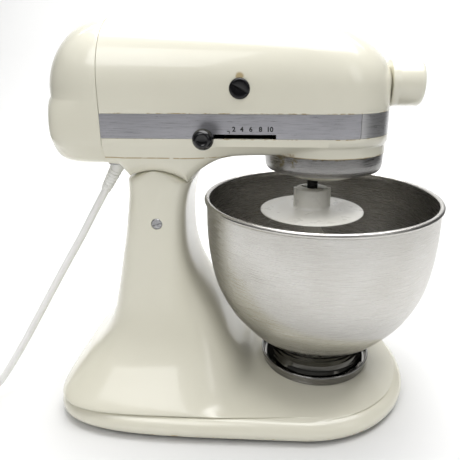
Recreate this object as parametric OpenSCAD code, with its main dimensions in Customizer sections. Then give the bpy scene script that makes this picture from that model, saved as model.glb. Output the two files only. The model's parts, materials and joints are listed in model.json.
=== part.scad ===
// Stand mixer with a tilting motor head, a turning bowl and a planetary beater drive.
// Lengths are millimetres. +X runs to the front, +Y to the far side, +Z up.
// Shapes are laid out from the bowl's upright axis and the counter, and at_axis() then moves
// them forward by bowl_x, so that the origin is the middle of the footprint.

/* [Overall] */
// How far the bowl's axis stands in front of the middle of the footprint
bowl_x = 68.25; // [66:0.25:70]
// Height of the motor's and the attachment hub's common axis
motor_z = 298; // [296:0.5:300]
// Radius of the rounded top of the motor head
crown_r = 56.4; // [55:0.1:57]
// Half the width of the motor head, and the radius of its nose seen from above
head_r = 56; // [55:0.5:57]

/* [Stand] */
// Wall of the stand casting
stand_wall = 4; // [3:0.5:5]
// Distance of the tilt hinge behind the bowl's axis
hinge_back = 148; // [147:0.5:149]
// Height of the tilt hinge
hinge_z = 180; // [178:0.5:182]
// Radius of the round saddle on top of the column
saddle_r = 47.5; // [46:0.5:48]
// Radius of the hinge pin
hinge_pin_r = 5; // [4:0.5:6]
// Height of the rubber feet
foot_h = 4; // [3:0.5:5]

/* [Head] */
// Top of the metal band round the head
band_top = 277; // [276:0.5:278]
// Bottom of the metal band
band_bottom = 257.4; // [256:0.2:258]
// Where the rear cover meets the housings, behind the bowl's axis
seam_back = 187; // [186:0.5:188]
// Wall of the head's castings
head_wall = 3; // [2.5:0.5:4]
// Underside of the gear case
case_floor_z = 240.5; // [240:0.5:241]
// How far the speed lever travels
speed_travel = 50; // [40:1:52]

/* [Bowl] */
// Outer radius of the bowl's rolled rim
bowl_rim_r = 110.5; // [108:0.5:112]
// Height of the top of the rim
bowl_rim_z = 197; // [195:0.5:198]
// Thickness of the bowl's sheet
bowl_sheet = 1.2; // [1:0.1:1.5]

/* [Drive] */
// Tooth size of every gear, as pitch diameter over teeth
gear_module = 1.5; // [1.5:0.1:1.5]
// Teeth inside the fixed ring gear
ring_teeth = 40; // [40:1:40]
// Teeth on the beater's pinion
beater_teeth = 14; // [14:1:14]
// Teeth on the large gear of the centre shaft
center_teeth = 50; // [50:1:50]
// Teeth on the worm wheel
worm_wheel_teeth = 24; // [24:1:24]
// Pitch radius of the worm
worm_r = 8; // [7.5:0.5:8]

/* [Lead] */
// Diameter of the mains lead
cord_d = 7; // [6:0.5:7.5]

/* [Hidden] */
$fn = 64;

cream = [0.90, 0.87, 0.76];
bright = [0.78, 0.78, 0.76];
brushed = [0.70, 0.70, 0.72];
steel = [0.55, 0.56, 0.58];
bronze = [0.72, 0.52, 0.25];
black = [0.08, 0.08, 0.08];
white = [0.93, 0.92, 0.88];

hinge_x = -hinge_back;
seam_x = -seam_back;
running = 0.05; // radial clearance of every shaft in its bearing

// Where the beater's axis stands at rest, on its circle round the bowl's axis
orbit_r = (ring_teeth - beater_teeth) * gear_module / 2;
orbit_angle = -121;
beater_x = orbit_r * cos(orbit_angle);
beater_y = orbit_r * sin(orbit_angle);

// The worm wheel's upright shaft stands beside the worm and behind the centre shaft
wheel_r = worm_wheel_teeth * gear_module / 2;
pinion_r = beater_teeth * gear_module / 2;
wheel_y = worm_r + wheel_r;
wheel_x = -sqrt(pow(center_teeth * gear_module / 2 + pinion_r, 2) - pow(wheel_y, 2));
worm_lead = PI * gear_module;

brush_x = -73.3;
shaft_r = 5;
center_shaft_r = 6;
beater_shaft_r = 4.8;
hub_shaft_r = 7;
hub_bore_r = 14.3;
hub_bore_back = 64.4;
hub_front = 82.4;
hub_flange_r = 11;
planet_top = 230.5;

// ---------- helpers ----------

module at_axis() { translate([bowl_x, 0, 0]) children(); }

function lerp(a, b, t) = a + (b - a) * t;
function spow(v, p) = sign(v) * pow(abs(v), p);
function circle_y(r, x) = sqrt(max(0, r * r - x * x));

// Smooth curve through the rows of a table whose first column rises
function row_of(table, s, i = 0) = (i >= len(table) - 2 || s < table[i + 1][0]) ? i : row_of(table, s, i + 1);
function slope_at(table, i) =
    let (a = max(i - 1, 0), b = min(i + 1, len(table) - 1))
    (table[b] - table[a]) / (table[b][0] - table[a][0]);
function smooth_row(table, s) =
    let (
        i = row_of(table, s),
        h = table[i + 1][0] - table[i][0],
        t = (s - table[i][0]) / h,
        t2 = t * t,
        t3 = t2 * t
    )
    table[i] * (2 * t3 - 3 * t2 + 1) + slope_at(table, i) * h * (t3 - 2 * t2 + t)
    + table[i + 1] * (3 * t2 - 2 * t3) + slope_at(table, i + 1) * h * (t3 - t2);

// A closed solid through rings of points, each ring with the same count
// (each ring runs clockwise when looked at from the end of the row of rings)
// ends is how the two ends close: "flat" as one polygon each, "strips" between the ring's two
// mirrored halves, or "fan" in triangles from the first point
function end_faces(n, first, ends) =
    ends == "strips" ? [for (k = [0:n / 2 - 2])
        [first + k, first + k + 1, first + n - 2 - k, first + n - 1 - k]]
    : ends == "fan" ? [for (k = [1:n - 2]) [first, first + k, first + k + 1]]
    : [[for (k = [0:n - 1]) first + k]];
function turned(face) = [for (i = [len(face) - 1:-1:0]) face[i]];
module loft(rings, ends = "flat") {
    n = len(rings[0]);
    rows = len(rings);
    points = [for (ring = rings) each ring];
    sides = [for (i = [0:rows - 2], k = [0:n - 1])
        [i * n + k, i * n + (k + 1) % n, (i + 1) * n + (k + 1) % n, (i + 1) * n + k]];
    near_end = [for (face = end_faces(n, 0, ends)) turned(face)];
    polyhedron(points, concat(sides, near_end, end_faces(n, (rows - 1) * n, ends)), convexity = 8);
}

// A round tube swept along a path, in rings square to it
function unit(v) = v / norm(v);
function path_dir(p, i) = unit(p[min(i + 1, len(p) - 1)] - p[max(i - 1, 0)]);
// Each ring's first spoke is the last ring's, turned only as far as the path bends
function spokes(p, i = 0, last = [0.3, 1, 0.2]) = i == len(p) ? [] :
    let (d = path_dir(p, i), u = unit(last - (last * d) * d)) concat([u], spokes(p, i + 1, u));
module tube_along(p, r, sides) {
    first = spokes(p);
    loft([for (i = [0:len(p) - 1]) let (u = first[i], v = cross(u, path_dir(p, i)))
        [for (k = [0:sides - 1]) p[i] + r[i] * (u * cos(360 * k / sides) + v * sin(360 * k / sides))]]);
}

// Points spaced along a smooth curve through hand-set points
function curve_point(p, i, t) =
    let (
        a = p[max(i - 1, 0)], b = p[i], c = p[i + 1], d = p[min(i + 2, len(p) - 1)],
        m0 = (c - a) / 2, m1 = (d - b) / 2, t2 = t * t, t3 = t2 * t
    )
    b * (2 * t3 - 3 * t2 + 1) + m0 * (t3 - 2 * t2 + t) + c * (3 * t2 - 2 * t3) + m1 * (t3 - t2);
function curve(p, steps) =
    [for (i = [0:len(p) - 2], k = [0:steps - 1]) curve_point(p, i, k / steps), p[len(p) - 1]];

// ---------- gears ----------

function involute(a) = tan(a) * 180 / PI - a;
function flank_angle(r, base) = involute(acos(min(1, base / max(r, base))));
// Outline of a spur gear: add and ded are the tooth's height above and depth below the pitch
// circle in modules, slack is what its thickness gives up at the pitch circle
function gear_points(teeth, add = 0.8, ded = 1.1, slack = 0.3) =
    let (
        pitch = teeth * gear_module / 2, base = pitch * cos(20),
        tip = pitch + add * gear_module, root = pitch - ded * gear_module,
        half = 90 / teeth - slack / pitch * 90 / PI + flank_angle(pitch, base),
        radii = [root, max(root, base) + 0.01, lerp(max(root, base), tip, 0.5), tip],
        spread = [for (r = radii) half - flank_angle(r, base)]
    )
    [for (i = [0:teeth - 1]) each concat(
        [for (k = [0:3]) radii[k] * [cos(360 * i / teeth - spread[k]), sin(360 * i / teeth - spread[k])]],
        [for (k = [3:-1:0]) radii[k] * [cos(360 * i / teeth + spread[k]), sin(360 * i / teeth + spread[k])]]
    )];

module spur_gear(teeth, height, bore) {
    difference() {
        linear_extrude(height) polygon(gear_points(teeth));
        translate([0, 0, -1]) cylinder(r = bore, h = height + 2);
    }
}

// A mitre gear with its large end at z = 0 and its cone's apex at z = pitch radius
mitre_teeth = 20;
mitre_r = mitre_teeth * gear_module / 2;
mitre_face = 5;
module mitre_gear(bore, back) {
    difference() {
        union() {
            linear_extrude(mitre_face, scale = 1 - mitre_face / mitre_r)
                polygon(gear_points(mitre_teeth, slack = 0.5));
            translate([0, 0, -back]) cylinder(r = bore + 4, h = back);
        }
        translate([0, 0, -back - 1]) cylinder(r = bore, h = back + mitre_face + 2);
    }
}

// ---------- stand ----------

// Level, rear, front and half width of the stand's outline, where its widest point lies, and how
// square its rear and front are
stand_table = [
    [4, -243, 84, 103, -20, 4.6, 2.1],
    [6, -246, 87, 106, -20, 4.8, 2.1],
    [10, -247, 88.5, 107.5, -20, 5, 2.1],
    [14, -247, 87.5, 106.5, -20, 5, 2.1],
    [18, -246.4, 82, 104, -20, 5, 2.1],
    [20.5, -245.8, 74, 100.5, -22, 5, 2.1],
    [22, -245.4, 62, 96, -25, 5, 2.2],
    [22.4, -245.2, -60, 102, -125, 5, 2.6],
    [25, -244.5, -61.5, 100, -130, 5, 2.6],
    [30, -241, -65, 95, -135, 4.6, 2.7],
    [37, -236, -70, 88.5, -140, 4.2, 2.8],
    [46, -229, -76, 81, -145, 4, 3],
    [58, -216.5, -83, 72, -148, 3.8, 3.2],
    [72, -206, -90, 64, -150, 3.6, 3.5],
    [87, -199.3, -97.6, 58.5, -152, 3.5, 3.8],
    [104, -195, -107, 54, -153, 3.5, 4],
    [124, -191, -117, 50.5, -154, 3.5, 4.2],
    [145, -186.8, -123, 48, -154, 3.6, 4.4],
    [165, -182.4, -124.8, 46.5, -153, 3.8, 4.6],
    [185, -179, -124.3, 45.5, -152, 4, 4.8],
    [204, -176.5, -121, 45, -150, 4, 5],
    [230, -176, -112, 45, -148, 4, 5]
];
stand_ring_points = 48;
function saddle_chord(z) = sqrt(max(3, pow(saddle_r, 2) - pow(max(z - hinge_z, 0), 2)));
function stand_row(z) = let (i = row_of(stand_table, z)) (i == 6) ? lerp(stand_table[6], stand_table[7],
    (z - stand_table[6][0]) / (stand_table[7][0] - stand_table[6][0])) : smooth_row(stand_table, z);
// The outline at one level; inset draws the cavity inside it
function stand_ring(z, level, inset) =
    let (
        row = stand_row(z),
        rear = max(row[1], z > 205 ? hinge_x - saddle_chord(z) : -999) + inset,
        front = min(row[2], z > 205 ? hinge_x + saddle_chord(z) : 999) - inset,
        half = row[3] - inset,
        mid = min(max(row[4], rear + 1), front - 1)
    )
    [for (k = [0:stand_ring_points - 1])
        let (a = -360 * (k + 0.5) / stand_ring_points, n = cos(a) < 0 ? row[5] : row[6])
        [mid + (cos(a) < 0 ? mid - rear : front - mid) * spow(cos(a), 2 / n),
            half * spow(sin(a), 2 / n), level]];
stand_levels = [4, 6, 8, 10, 14, 18, 20.5, 22, 22.4, 25, 30, 37, 46, 58, 72, 87, 104, 124, 145, 165, 185,
    204, 212, 218, 222, 225, 226.8, 227.45];
cavity_levels = [4, 8, 14, 16.5, 18, 18.4, 21, 26, 33, 42, 54, 68, 83, 100, 120, 140];

foot_places = [[55, 50], [55, -50], [-215, 75], [-215, -75], [-90, 80], [-90, -80]];
clamp_screw_r = 34;

module stand_casting() {
    color(cream) at_axis() difference() {
        union() {
            loft(concat(
                [for (i = [len(cavity_levels) - 1:-1:0])
                    stand_ring(cavity_levels[i] + stand_wall, cavity_levels[i], stand_wall)],
                [for (z = stand_levels) stand_ring(z, z, 0)]
            ));
            for (p = foot_places) translate([p[0], p[1], foot_h]) cylinder(r = 9, h = 15.5);
        }
        hinge_slot();
        translate([hinge_x, 60, hinge_z]) rotate([90, 0, 0]) cylinder(r = hinge_pin_r, h = 120);
        for (a = [30, 150, 270]) rotate(a) translate([clamp_screw_r, 0, 10]) cylinder(r = 2, h = 20);
    }
}

// The slot between the column's two cheeks, in which the head's lug swings back
slot_half = 25;
lug_web_half = 8;
tilt_max = 50;
module hinge_slot() {
    translate([hinge_x, slot_half, hinge_z]) rotate([90, 0, 0]) {
        cylinder(r = 22, h = 2 * slot_half);
        linear_extrude(2 * slot_half) polygon(concat([[0, 0]],
            [for (a = [90 - lug_web_half - 4:6:98 + tilt_max + 4]) 62 * [cos(a), sin(a)]]));
    }
}

module rubber_feet() {
    color(black) at_axis() for (p = foot_places) translate([p[0], p[1], 0]) rotate_extrude()
        polygon([[0, 0], [9, 0], [10.5, 1.5], [10.5, foot_h], [0, foot_h]]);
}

clamp_z = 22.5;
module bowl_clamp_plate() {
    color(bright) at_axis() difference() {
        union() {
            rotate_extrude($fn = 96) polygon([
                [8, clamp_z], [54, clamp_z], [54.2, 26], [55.4, 30.4], [55, 31.6], [54, 31.8],
                [53, 31], [52.2, 26.4], [52, clamp_z + 1.8], [8, clamp_z + 1.8]
            ]);
            for (a = [0, 90, 180, 270]) rotate(a + 30) rotate_extrude(angle = 30, $fn = 96)
                polygon([[50.4, 28.6], [53.2, 28.6], [53.4, 30], [50.4, 30]]);
        }
        for (a = [30, 150, 270]) rotate(a) translate([clamp_screw_r, 0, clamp_z - 1]) cylinder(r = 2, h = 4);
    }
}

module clamp_plate_screws() {
    color(steel) at_axis() for (a = [30, 150, 270]) rotate(a) translate([clamp_screw_r, 0, 0]) difference() {
        union() {
            translate([0, 0, 12]) cylinder(r = 2, h = clamp_z + 1.8 - 12);
            translate([0, 0, clamp_z + 1.8]) cylinder(r = 4, h = 1.6);
        }
        translate([-5, -0.5, clamp_z + 2.6]) cube([10, 1, 2]);
    }
}

module hinge_pin() {
    color(steel) at_axis() translate([hinge_x, 0, hinge_z]) rotate([90, 0, 0]) difference() {
        cylinder(r = hinge_pin_r, h = 92, center = true);
        for (s = [-1, 1]) translate([0, 0, s * 46]) rotate(20) cube([11, 1.2, 2], center = true);
    }
}

// ---------- bowl ----------

// Radius and height down the outside of the bowl, from the rim to its flat bottom
bowl_side = [[108.4, 190], [108.4, 166], [106.4, 141], [101, 115], [90, 91], [77.5, 74.5], [68.5, 64.5],
    [58, 56.8], [47, 50.5]];
bowl_bottom = 50.5;
rim_roll = 2.4;
bowl_seat = 24.6;

module mixing_bowl() {
    outside = curve(bowl_side, 3);
    inside = [for (i = [len(outside) - 1:-1:0])
        let (d = unit(outside[min(i + 1, len(outside) - 1)] - outside[max(i - 1, 0)]))
        outside[i] + bowl_sheet * [d[1], -d[0]]];
    color(bright) at_axis() rotate_extrude($fn = 128) {
        polygon(concat([[0, bowl_bottom]], [for (i = [len(outside) - 1:-1:0]) outside[i]],
            [for (i = [len(inside) - 1:-1:0]) [inside[i][0], min(190, inside[i][1])]],
            [[0, bowl_bottom + bowl_sheet]]));
        difference() {
            union() {
                translate([bowl_rim_r - rim_roll, bowl_rim_z - rim_roll]) circle(r = rim_roll, $fn = 24);
                polygon([[108.4, 189.9], [108.4, 193], [106.2, 193.6], [107.2, 189.9]]);
            }
            translate([bowl_rim_r - rim_roll, bowl_rim_z - rim_roll]) circle(r = rim_roll - 1, $fn = 24);
        }
    }
}

module bowl_foot() {
    color(steel) at_axis() {
        rotate_extrude($fn = 96) polygon([
            [41, bowl_seat], [49.4, bowl_seat], [49.8, bowl_seat + 1.6], [48.8, 29], [46.8, 32.5], [45.4, 37],
            [45.2, 41.5], [45.8, 46], [47, bowl_bottom], [43, bowl_bottom], [41.6, 44], [41, 36]
        ]);
        for (a = [0, 90, 180, 270]) rotate(a + 33) rotate_extrude(angle = 24, $fn = 96)
            polygon([[48, bowl_seat + 0.4], [51, bowl_seat + 1.2], [51, bowl_seat + 2.6],
                [48.2, bowl_seat + 2.6]]);
    }
}

// ---------- head castings ----------

// Height of the crown above the motor's axis: flat to the rear, then falling round the nose
crown_start = -20;
crown_len = 78;
crown_power = 1.7;
function crown_at(x) =
    crown_r * pow(1 - pow(max(0, (x - crown_start) / crown_len), crown_power), 1 / crown_power);
function half_width(x) = x < 0 ? head_r : circle_y(head_r, x);

function arch(half, crown, low, steps) = concat([[-half, low]],
    [for (k = [0:steps]) let (a = 180 - 180 * k / steps) [half * cos(a), motor_z + crown * sin(a)]],
    [[half, low]]);
upper_stations = [-140, -90, -45, -20, -8, 4, 13, 21, 28, 34, 39, 43.5, 47, 50, 52.5, 54.2];
function upper_ring(x, inset) =
    [for (p = arch(half_width(x) - inset, crown_at(x) - inset, band_top + 0.2 - inset, 28)) [x, p[0], p[1]]];
// The cavity is the same form drawn in, and it runs out through the seam, the band and the hub
module upper_form(inset) {
    nose_end = upper_stations[len(upper_stations) - 1];
    loft(concat([upper_ring(seam_x - inset, inset)], [for (x = upper_stations) upper_ring(x, inset)],
        inset > 0 ? [[for (p = upper_ring(nose_end, inset)) p + [1, 0, 0]]] : []));
}

module upper_housing() {
    color(cream) at_axis() difference() {
        upper_form(0);
        upper_form(head_wall);
        for (s = [-1, 1]) translate([brush_x, s * 48, motor_z - 1]) rotate([-90 * s, 0, 0])
            cylinder(r = 8.3, h = 12);
    }
}

// Underside of the head behind the gear case: where it lies, its height and its half width
arm_table = [
    [-187, 233.4, 44], [-177, 232.6, 45], [-172, 227.2, 46], [-168.6, 223.4, 46],
    [-119.4, 218.6, 46], [-112, 225.8, 45], [-105, 231, 43.5], [-98, 235, 42], [-90, 237.8, 40.5],
    [-78, 239.8, 39], [-58, case_floor_z, 38.5], [0, case_floor_z, 38.5]
];
neck_gap = 0.5;
case_r = 54.5;
function arm_row(x) = (x > -168.7 && x < -119.3)
    ? [x, hinge_z + sqrt(pow(saddle_r + neck_gap, 2) - pow(x - hinge_x, 2)), 46]
    : let (i = row_of(arm_table, x), t = (x - arm_table[i][0]) / (arm_table[i + 1][0] - arm_table[i][0]))
        lerp(arm_table[i], arm_table[i + 1], t);
lip_z = band_bottom - 0.2;
rebate = 1.2;
// Half of the arm's outline from the top of the rebate behind the band down to the keel;
// inset draws the cavity inside it
function arm_side(x, inset) =
    let (
        row = arm_row(x), low = row[1] + inset * 1.1, foot = row[2] - inset,
        case = circle_y(case_r - inset, x),
        rim = circle_y(head_r - rebate - inset, max(0, x)), full = circle_y(head_r - inset, max(0, x)),
        lip = lip_z - inset
    )
    concat([[rim, band_top + inset], [rim, lip], [full, lip - inset / 6]],
        [for (t = [0, 0.3, 0.6, 0.85]) [max(lerp(full, foot + 3, t), case), lerp(251, low, t)]],
        [[max(foot - 2, case), low], [foot - 12, low]]);
function arm_ring(x, inset) =
    let (side = arm_side(x, inset), n = len(side))
    [for (k = [0:2 * n - 1]) let (p = side[min(k, 2 * n - 1 - k)]) [x, k < n ? p[0] : -p[0], p[1]]];
arm_stations = [-177, -172, -168.6, -163, -156, -148, -140, -133, -126, -119.4, -112, -105, -98, -90, -78,
    -58, -54, -50, -46, -42, -38, -33, -28, -23, -17, -9];
nose_turns = [0:8:88];
// The nose carries the last outline round the bowl's axis, until its two sides nearly meet
function nose_ring(turn, inset) =
    [for (p = arm_ring(0, inset)) [abs(p[1]) * sin(turn), p[1] * cos(turn), p[2]]];
module head_base(inset) {
    rings = concat([for (x = concat([seam_x - inset], arm_stations)) arm_ring(x, inset)],
        [for (turn = nose_turns) nose_ring(turn, inset)]);
    loft(rings, ends = "strips");
}

module lower_housing() {
    color(cream) at_axis() difference() {
        head_base(0);
        head_base(head_wall);
        translate([0, 0, case_floor_z - 1]) cylinder(r = 9.1, h = 6);
        translate([-speed_slot_back, -head_r - 4, lip_z]) cube([speed_slot_len, 12, 3.9]);
        translate([lock_x, 40, lock_z]) rotate([-90, 0, 0]) cylinder(r = 4.1, h = 30);
        translate(entry) cylinder(r = neck_r + 0.05, h = 14);
    }
}

// Rear cover: the seam's outline drawn in towards a pole at the back
cover_center_z = 288;
cover_low_z = 233.4;
function cover_outline(inset) =
    let (
        full = head_r - inset, low = cover_low_z + inset,
        right = concat(
            [[12, low - 0.4], [28, low - 0.1], [40, low + 0.6], [46.5 - inset, 237.5 + inset],
                [51 - inset * 0.9, 244], [full - 0.6, 252], [full, 264], [full, 276], [full, 288]],
            [for (a = [0:10:80]) [full * cos(a), motor_z + (crown_r - inset) * sin(a)]]
        )
    )
    concat(right, [[0, motor_z + crown_r - inset]],
        [for (i = [len(right) - 1:-1:0]) [-right[i][0], right[i][1]]]);
cover_depth = 58;
function cover_ring(t, inset) = [for (p = cover_outline(inset))
    let (
        lowness = min(1, max(0, (cover_center_z - p[1]) / 40)),
        power = lerp(2, 4.5, lowness),
        scale = pow(1 - pow(t, power), 1 / power),
        depth = (cover_depth - inset) - 6 * lowness * min(1, scale * 1.6) * t
    )
    [seam_x - depth * t, p[0] * scale, cover_center_z + (p[1] - cover_center_z) * scale]];
cover_steps = [0, 0.18, 0.34, 0.48, 0.6, 0.7, 0.79, 0.86, 0.92, 0.96, 0.985, 0.998];

module rear_cover() {
    color(cream) at_axis() loft(concat(
        [for (i = [len(cover_steps) - 1:-2:0]) cover_ring(cover_steps[i], head_wall)],
        [cover_ring(0, head_wall)],
        [for (t = cover_steps) cover_ring(t, 0)]
    ), ends = "fan");
}

module rear_cover_screw() {
    color(steel) at_axis() translate([seam_x - cover_depth - 1.2, 0, cover_center_z]) rotate([0, 90, 0])
        difference() {
            cylinder(r = 4, h = 1.2);
            translate([-5, -0.5, -1]) cube([10, 1, 1.6]);
        }
}

// The cast lug that hangs from the neck into the column's slot and turns on the pin
module hinge_lug() {
    color(steel) at_axis() translate([hinge_x, slot_half - 1, hinge_z]) rotate([90, 0, 0]) difference() {
        union() {
            cylinder(r = 20, h = 2 * slot_half - 2);
            linear_extrude(2 * slot_half - 2) intersection() {
                circle(r = saddle_r + 0.25, $fn = 128);
                polygon([[0, 0], for (a = [90 - lug_web_half, 90 + lug_web_half]) 60 * [cos(a), sin(a)]]);
            }
        }
        translate([0, 0, -1]) cylinder(r = hinge_pin_r + running, h = 2 * slot_half);
    }
}

// ---------- head trim ----------

band_out = head_r - 0.1;
band_thick = 1;
front_band_half = 64;
speed_slot_back = 104;
speed_slot_len = speed_travel + 10;

module band_strip(side, back, corner) {
    translate([0, 0, band_bottom]) linear_extrude(band_top - band_bottom) {
        translate([back, side > 0 ? band_out - band_thick : -band_out])
            square([side > 0 ? 0.01 - back : -back, band_thick]);
        rotate(side > 0 ? corner : -90) band_arc(90 - corner);
    }
}
module band_arc(angle) {
    difference() {
        intersection() {
            circle(r = band_out, $fn = 180);
            polygon([[0, 0], for (a = [0:angle / 6:angle + 0.01]) 90 * [cos(a), sin(a)]]);
        }
        circle(r = band_out - band_thick, $fn = 180);
    }
}

module speed_band() {
    color(brushed) at_axis() difference() {
        band_strip(-1, seam_x, front_band_half + 0.5);
        translate([-speed_slot_back, -head_r - 3, band_bottom - 1]) cube([speed_slot_len, 6, 4.6]);
    }
}

module side_band() { color(brushed) at_axis() band_strip(1, seam_x, front_band_half + 0.5); }

module front_band() {
    color(brushed) at_axis() translate([0, 0, band_bottom]) linear_extrude(band_top - band_bottom)
        rotate(-front_band_half) band_arc(2 * front_band_half);
}

module drip_ring() {
    color(brushed) at_axis() rotate_extrude($fn = 128) polygon([
        [53.6, case_floor_z], [53.4, 228.6], [52.8, 226], [51.6, 224.4], [49.6, 223.8], [48.4, 224.4],
        [48.6, 225.6], [50.4, 226], [51.4, 227.4], [51.8, 229], [51.9, 238.6], [51.2, 238.6],
        [51.2, case_floor_z]
    ]);
}

module hub_boss() {
    color(cream) at_axis() translate([0, 0, motor_z + 0.8]) rotate([0, 90, 0]) difference() {
        rotate_extrude($fn = 96) polygon([
            [0, 50], [9.2, 50], [9.2, 54.4], [20.6, 54.4], [20.2, 57.5], [19.4, 60], [19.4, 79.6],
            [18.6, 81.6], [16.8, hub_front], [0, hub_front]
        ]);
        translate([0, 0, 60]) cylinder(r = hub_flange_r + 0.5, h = hub_bore_back - 60 + 0.01);
        translate([0, 0, hub_bore_back]) cylinder(r = hub_bore_r, h = 30);
        translate([0, 0, 40]) cylinder(r = hub_shaft_r + running, h = 30);
        translate([0, 0, 70.5]) rotate([-90, 0, 0]) cylinder(r = 3.2, h = 30);
    }
}

module attachment_knob() {
    color(black) at_axis() translate([70.5, 0, motor_z + 0.8]) rotate([-90, 0, 0]) {
        translate([0, 0, hub_bore_r + 0.4]) cylinder(r = 3, h = 8);
        difference() {
            translate([0, 0, 20]) cylinder(r = 10, h = 13);
            for (a = [0:36:324]) rotate(a) translate([10.8, 0, 19]) cylinder(r = 1.8, h = 15);
        }
    }
}

// ---------- gear case ----------

module ring_gear() {
    color(steel) at_axis() translate([0, 0, 231.8]) difference() {
        union() {
            cylinder(r = 36, h = case_floor_z - 231.8);
            translate([0, 0, case_floor_z - 231.8 - 2.4]) cylinder(r = 48, h = 2.4);
        }
        translate([0, 0, -1]) linear_extrude(20)
            polygon(gear_points(ring_teeth, add = 1.1, ded = 0.8, slack = -0.3));
    }
}

case_inside = case_floor_z + head_wall * 1.1;
module case_bushes() {
    color(bronze) at_axis() {
        translate([0, 0, case_floor_z]) rotate_extrude() polygon([
            [center_shaft_r + running, 0], [9, 0], [9, case_inside - case_floor_z],
            [12, case_inside - case_floor_z], [12, 16], [center_shaft_r + running, 16]
        ]);
        translate([wheel_x, wheel_y, case_inside]) difference() {
            cylinder(r = 8, h = 12);
            translate([0, 0, 2]) cylinder(r = 4 + running, h = 12);
        }
    }
}

// Bearing plate across the gear case, between the spur gears below and the worm above
plate_z = 274.6;
inner_half = head_r - 1.2 - head_wall;
module gear_bracket() {
    plate_half = inner_half - 0.2;
    color(steel) at_axis() difference() {
        translate([0, 0, plate_z]) intersection() {
            translate([-50, -plate_half, 0]) cube([66, 2 * plate_half, 5]);
            union() {
                cylinder(r = plate_half - 0.6, h = 5);
                translate([-50, -plate_half, 0]) cube([50, 2 * plate_half, 5]);
            }
        }
        translate([0, 0, plate_z - 1]) cylinder(r = center_shaft_r + running, h = 8);
        translate([wheel_x, wheel_y, plate_z - 1]) cylinder(r = 4 + running, h = 8);
    }
}

// ---------- motor ----------

module along_motor(x) { translate([x, 0, motor_z]) rotate([0, 90, 0]) children(); }

// A plate across the head that carries one bearing: round above the axis, square below it
frame_places = [-66.4, -182];
frame_thick = 6;
frame_r = inner_half - 0.6;
frame_low = 264;
bearing_r = 11;
vent_r = 11;
module motor_frame(x) {
    color(steel) at_axis() difference() {
        union() {
            along_motor(x) cylinder(r = frame_r, h = frame_thick);
            translate([x, -frame_r, frame_low]) cube([frame_thick, 2 * frame_r, motor_z - frame_low]);
        }
        translate([x - 1, -head_r, frame_low - 40]) cube([frame_thick + 2, 2 * head_r, 40]);
        along_motor(x - 1) {
            cylinder(r = bearing_r, h = frame_thick + 2);
            for (side = [-30, 30], up = [-20, 18]) translate([up, side, 0])
                cylinder(r = vent_r, h = frame_thick + 2);
        }
    }
}
module front_motor_frame() { motor_frame(frame_places[0]); }
module rear_motor_frame() { motor_frame(frame_places[1]); }

module motor_bearings() {
    color(bright) at_axis() for (x = frame_places) along_motor(x) difference() {
        cylinder(r = bearing_r, h = frame_thick);
        translate([0, 0, -1]) cylinder(r = shaft_r + running, h = 8);
    }
}

stator_back = -152;
stator_len = 54;
module stator_core() {
    color(steel) at_axis() along_motor(stator_back) difference() {
        cylinder(r = 45, h = stator_len);
        translate([0, 0, -1]) cylinder(r = 27.4, h = stator_len + 2);
        for (s = [0, 180]) rotate(s + 90 - 53) translate([0, 0, -1]) rotate_extrude(angle = 106)
            translate([26, 0]) square([12, stator_len + 2]);
    }
}

module field_coils() {
    color(bronze) at_axis() along_motor(stator_back - 5) for (s = [0, 180]) rotate(s + 90 - 50)
        rotate_extrude(angle = 100) translate([28.6, 0]) square([8.6, stator_len + 10]);
}

module armature_shaft() {
    color(steel) at_axis() along_motor(-184) cylinder(r = shaft_r, h = 184 - 28);
}
module armature_core() {
    color(steel) at_axis() along_motor(stator_back) difference() {
        cylinder(r = 26.4, h = stator_len);
        translate([0, 0, -1]) cylinder(r = shaft_r, h = stator_len + 2);
        for (a = [0:30:330]) rotate(a) translate([21, -1.5, -1]) cube([8, 3, stator_len + 2]);
    }
}
module commutator() {
    color(bronze) at_axis() along_motor(brush_x - 9) difference() {
        cylinder(r = 14, h = 15);
        translate([0, 0, -1]) cylinder(r = shaft_r, h = 20);
        for (a = [0:30:330]) rotate(a) translate([12.6, -0.4, -1]) cube([3, 0.8, 20]);
    }
}
module cooling_fan() {
    color(black) at_axis() along_motor(-172) difference() {
        union() {
            cylinder(r = 12, h = 11);
            cylinder(r = 40, h = 1.6);
            for (a = [0:40:320]) rotate(a) translate([11, -0.8, 0]) cube([29, 1.6, 11]);
        }
        translate([0, 0, -1]) cylinder(r = shaft_r, h = 13);
    }
}

// The worm: one thread wound on a sleeve, with a gap facing the worm wheel's tooth at rest
worm_start = -52;
worm_len = 22;
worm_steps = 18;
worm_turns = 4;
module worm() {
    thread = [for (i = [0:worm_steps * worm_turns])
        let (
            a = 360 * i / worm_steps,
            x = wheel_x - worm_start + worm_lead * (i / worm_steps - worm_turns / 2 + 0.5)
        )
        [for (p = [[6.2, -1.15], [9.2, -0.45], [9.2, 0.45], [6.2, 1.15]])
            [p[0] * cos(a), -p[0] * sin(a), x + p[1]]]];
    color(steel) at_axis() translate([worm_start, 0, motor_z]) rotate([0, 90, 0]) rotate(90) difference() {
        union() {
            cylinder(r = 6.4, h = worm_len);
            loft([for (ring = thread) [for (i = [3:-1:0]) ring[i]]]);
        }
        translate([0, 0, -1]) cylinder(r = shaft_r, h = worm_len + 2);
    }
}

module worm_wheel() {
    color(bronze) at_axis() translate([wheel_x, wheel_y, motor_z - 4]) rotate(-90) difference() {
        union() {
            translate([0, 0, 1]) linear_extrude(6) polygon(gear_points(worm_wheel_teeth, slack = 0.7));
            cylinder(r = 9, h = 8);
        }
        translate([0, 0, -1]) cylinder(r = 4, h = 10);
    }
}
module worm_wheel_shaft() {
    low = case_inside + 2.2;
    color(steel) at_axis() translate([wheel_x, wheel_y, low]) cylinder(r = 4, h = 306 - low);
}

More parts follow.
